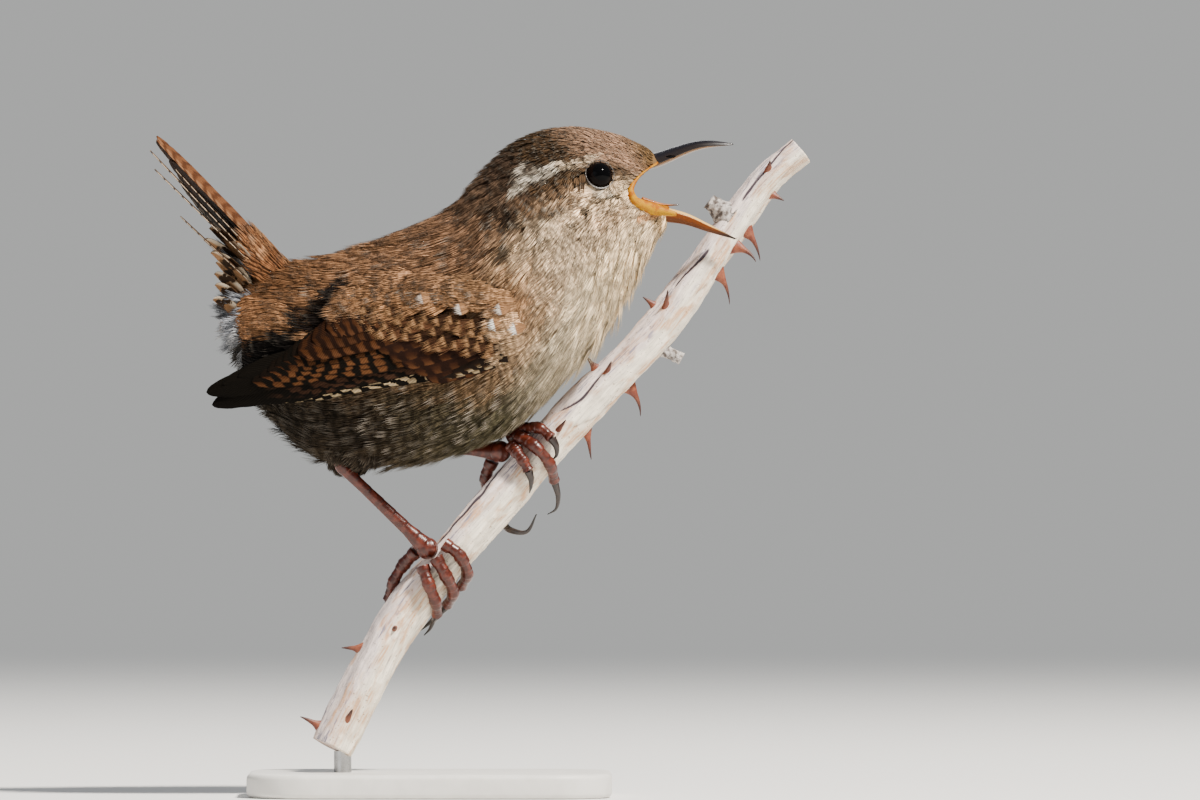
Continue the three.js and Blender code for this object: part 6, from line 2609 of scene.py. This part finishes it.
# The stand, the floor and the light
@dataclass
class Stand:
    """A plain rounded foot with a short steel rod that holds the stem."""

    long: float = 52.0
    wide: float = 34.0
    high: float = 3.5
    corner: float = 9.0
    edge: float = 0.8
    into_foot: float = 0.6

    def build(self) -> None:
        """Makes and dresses the foot and the rod."""
        foot = added("stand_foot", "cube", size=MM, location=(0, 0, self.high / 2 * MM))
        write_points(foot, read_points(foot) * np.array([self.long, self.wide, self.high]))
        bpy.ops.object.transform_apply(location=True, rotation=False, scale=False)
        for width, segments, limit in ((self.corner, 16, "WEIGHT"), (self.edge, 5, "ANGLE")):
            select(foot)
            if limit == "WEIGHT":
                self.weigh_corners(foot)
            bevel = foot.modifiers.new("round", "BEVEL")
            bevel.width = width * MM
            bevel.segments = segments
            bevel.limit_method = limit
            bpy.ops.object.modifier_apply(modifier=bevel.name)
        finish_piece(soften(foot, 40), STAND_PAINT, "stand_paint", "stand_base")
        low, high = (np.array(corner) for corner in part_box("stand_rod"))
        # The rod reaches a little into the foot.
        place = (low + high) / 2 - np.array([0, 0, self.into_foot / 2 * MM])
        depth = high[2] - low[2] + self.into_foot * MM
        radius = (high[0] - low[0]) / 2
        rod = added("stand_pin", "cylinder", vertices=48, radius=radius, depth=depth, location=place)
        bpy.ops.object.transform_apply(location=True, rotation=False, scale=False)
        finish_piece(soften(rod, 40), STAND_STEEL, "stand_steel", "stand_rod")

    @staticmethod
    def weigh_corners(foot: Piece) -> None:
        """Marks the four upright edges for the bevel."""
        weights = foot.data.attributes.new("bevel_weight_edge", "FLOAT", "EDGE")
        points = read_points(foot)
        for edge in foot.data.edges:
            start, end = points[edge.vertices[0]], points[edge.vertices[1]]
            weights.data[edge.index].value = float(abs(start[2] - end[2]) > 0.5 * MM)


@dataclass(frozen=True)
class FloorPaper:
    """The pale floor, which fades out far round the stand so that no horizon shows."""

    name: str = "floor_paper"
    colour: Colour = (0.8, 0.79, 0.77)
    fade_from: float = 0.2
    fade_to: float = 1.2

    def material(self) -> Material:
        """Builds the material."""
        shader = Shader(self.name, base_color=self.colour, roughness=0.9, specular_ior_level=0.1)
        place = shader.node("ShaderNodeTexCoord", output="Object")
        away = shader.node("ShaderNodeVectorMath", {"operation": "LENGTH"}, {0: place}, "Value")
        return shader.set(alpha=1 - away.step(self.fade_from, self.fade_to)).material


@dataclass
class Studio:
    """A pale floor, soft light and the camera at the photo's angle."""

    middle: Point3 = (24.3, 0, 56.6)
    distance: float = 2000.0
    picture_wide: float = 171.43
    floor_reach: float = 2.0
    sky: Colour = (0.8, 0.86, 0.95)
    sky_strength: float = 0.24
    backdrop: Colour = (0.46, 0.465, 0.46)

    def build(self) -> None:
        """Makes the floor, the lights and the camera."""
        floor = added("studio_floor", "circle", vertices=96, radius=self.floor_reach, fill_type="NGON")
        floor.data.materials.append(material_of(FloorPaper()))
        floor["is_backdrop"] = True
        self.surroundings()
        self.lamp("key", (0.66, -0.6, 1.25), 0.2, 72, (1, 0.95, 0.87))
        self.lamp("fill", (-0.9, -0.9, 0.35), 0.9, 2.2, (0.9, 0.95, 1))
        self.lamp("back", (-0.2, 0.9, 0.8), 0.6, 4, (1, 1, 1))
        self.camera()

    def surroundings(self) -> None:
        """Makes a dim even light all round, with a pale backdrop for the camera alone."""
        world = bpy.data.worlds.new("studio")
        world.use_nodes = True
        tree = world.node_tree
        light = tree.nodes["Background"]
        backdrop = tree.nodes.new("ShaderNodeBackground")
        seen = tree.nodes.new("ShaderNodeLightPath")
        either = tree.nodes.new("ShaderNodeMixShader")
        light.inputs["Color"].default_value = (*self.sky, 1)
        light.inputs["Strength"].default_value = self.sky_strength
        backdrop.inputs["Color"].default_value = (*self.backdrop, 1)
        tree.links.new(seen.outputs["Is Camera Ray"], either.inputs[0])
        tree.links.new(light.outputs[0], either.inputs[1])
        tree.links.new(backdrop.outputs[0], either.inputs[2])
        tree.links.new(either.outputs[0], tree.nodes["World Output"].inputs["Surface"])
        bpy.context.scene.world = world

    def lamp(self, name: str, place: Point3, size: float, power: float, colour: Colour) -> None:
        """Adds a soft lamp that shines at the bird.

        Args:
            name: Its name.
            place: Where it stands, in metres.
            size: Its width, in metres.
            power: Its power in watts.
            colour: Its colour.
        """
        light = bpy.data.lights.new(name, "AREA")
        light.shape = "DISK"
        light.size = size
        light.energy = power
        light.color = colour
        lamp = bpy.data.objects.new(name, light)
        lamp.location = place
        aim = Vector(self.middle) * MM - lamp.location
        lamp.rotation_euler = aim.to_track_quat("-Z", "Y").to_euler()
        bpy.context.scene.collection.objects.link(lamp)

    def camera(self) -> None:
        """Adds the camera, square on to the bird's right side."""
        lens = bpy.data.cameras.new("camera")
        lens.sensor_width = 36.0
        lens.lens = 36.0 * self.distance / self.picture_wide
        lens.clip_end = 20.0
        camera = bpy.data.objects.new("camera", lens)
        camera.location = Vector((self.middle[0], -self.distance, self.middle[2])) * MM
        camera.rotation_euler = (math.pi / 2, 0, 0)
        bpy.context.scene.collection.objects.link(camera)
        bpy.context.scene.camera = camera


def main() -> None:
    """Builds the wren, its stem, the stand and the studio."""
    logging.basicConfig(level=logging.INFO, format="%(name)s: %(message)s")
    body = BodyForm()
    stem = Stem()
    for part in (Studio(), Stand(), stem, Legs(stem), Skin(body), Bill(body)):
        part.build()
    for side in Side:
        Eye(side).build()
        Wing(WingForm(body, side)).build()
    Tail(TailForm()).build()
    Coat(BodyForm(hold=0.015)).build()
    for leg in LEGS:
        Thigh(ThighForm(leg.side, leg.heel)).build()


if __name__ == "__main__":
    main()
    boxes = {
        name: [[float(value) for value in corner] for corner in box]
        for name, box in (("cad", CAD_BOX), ("visual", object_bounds()))
    }
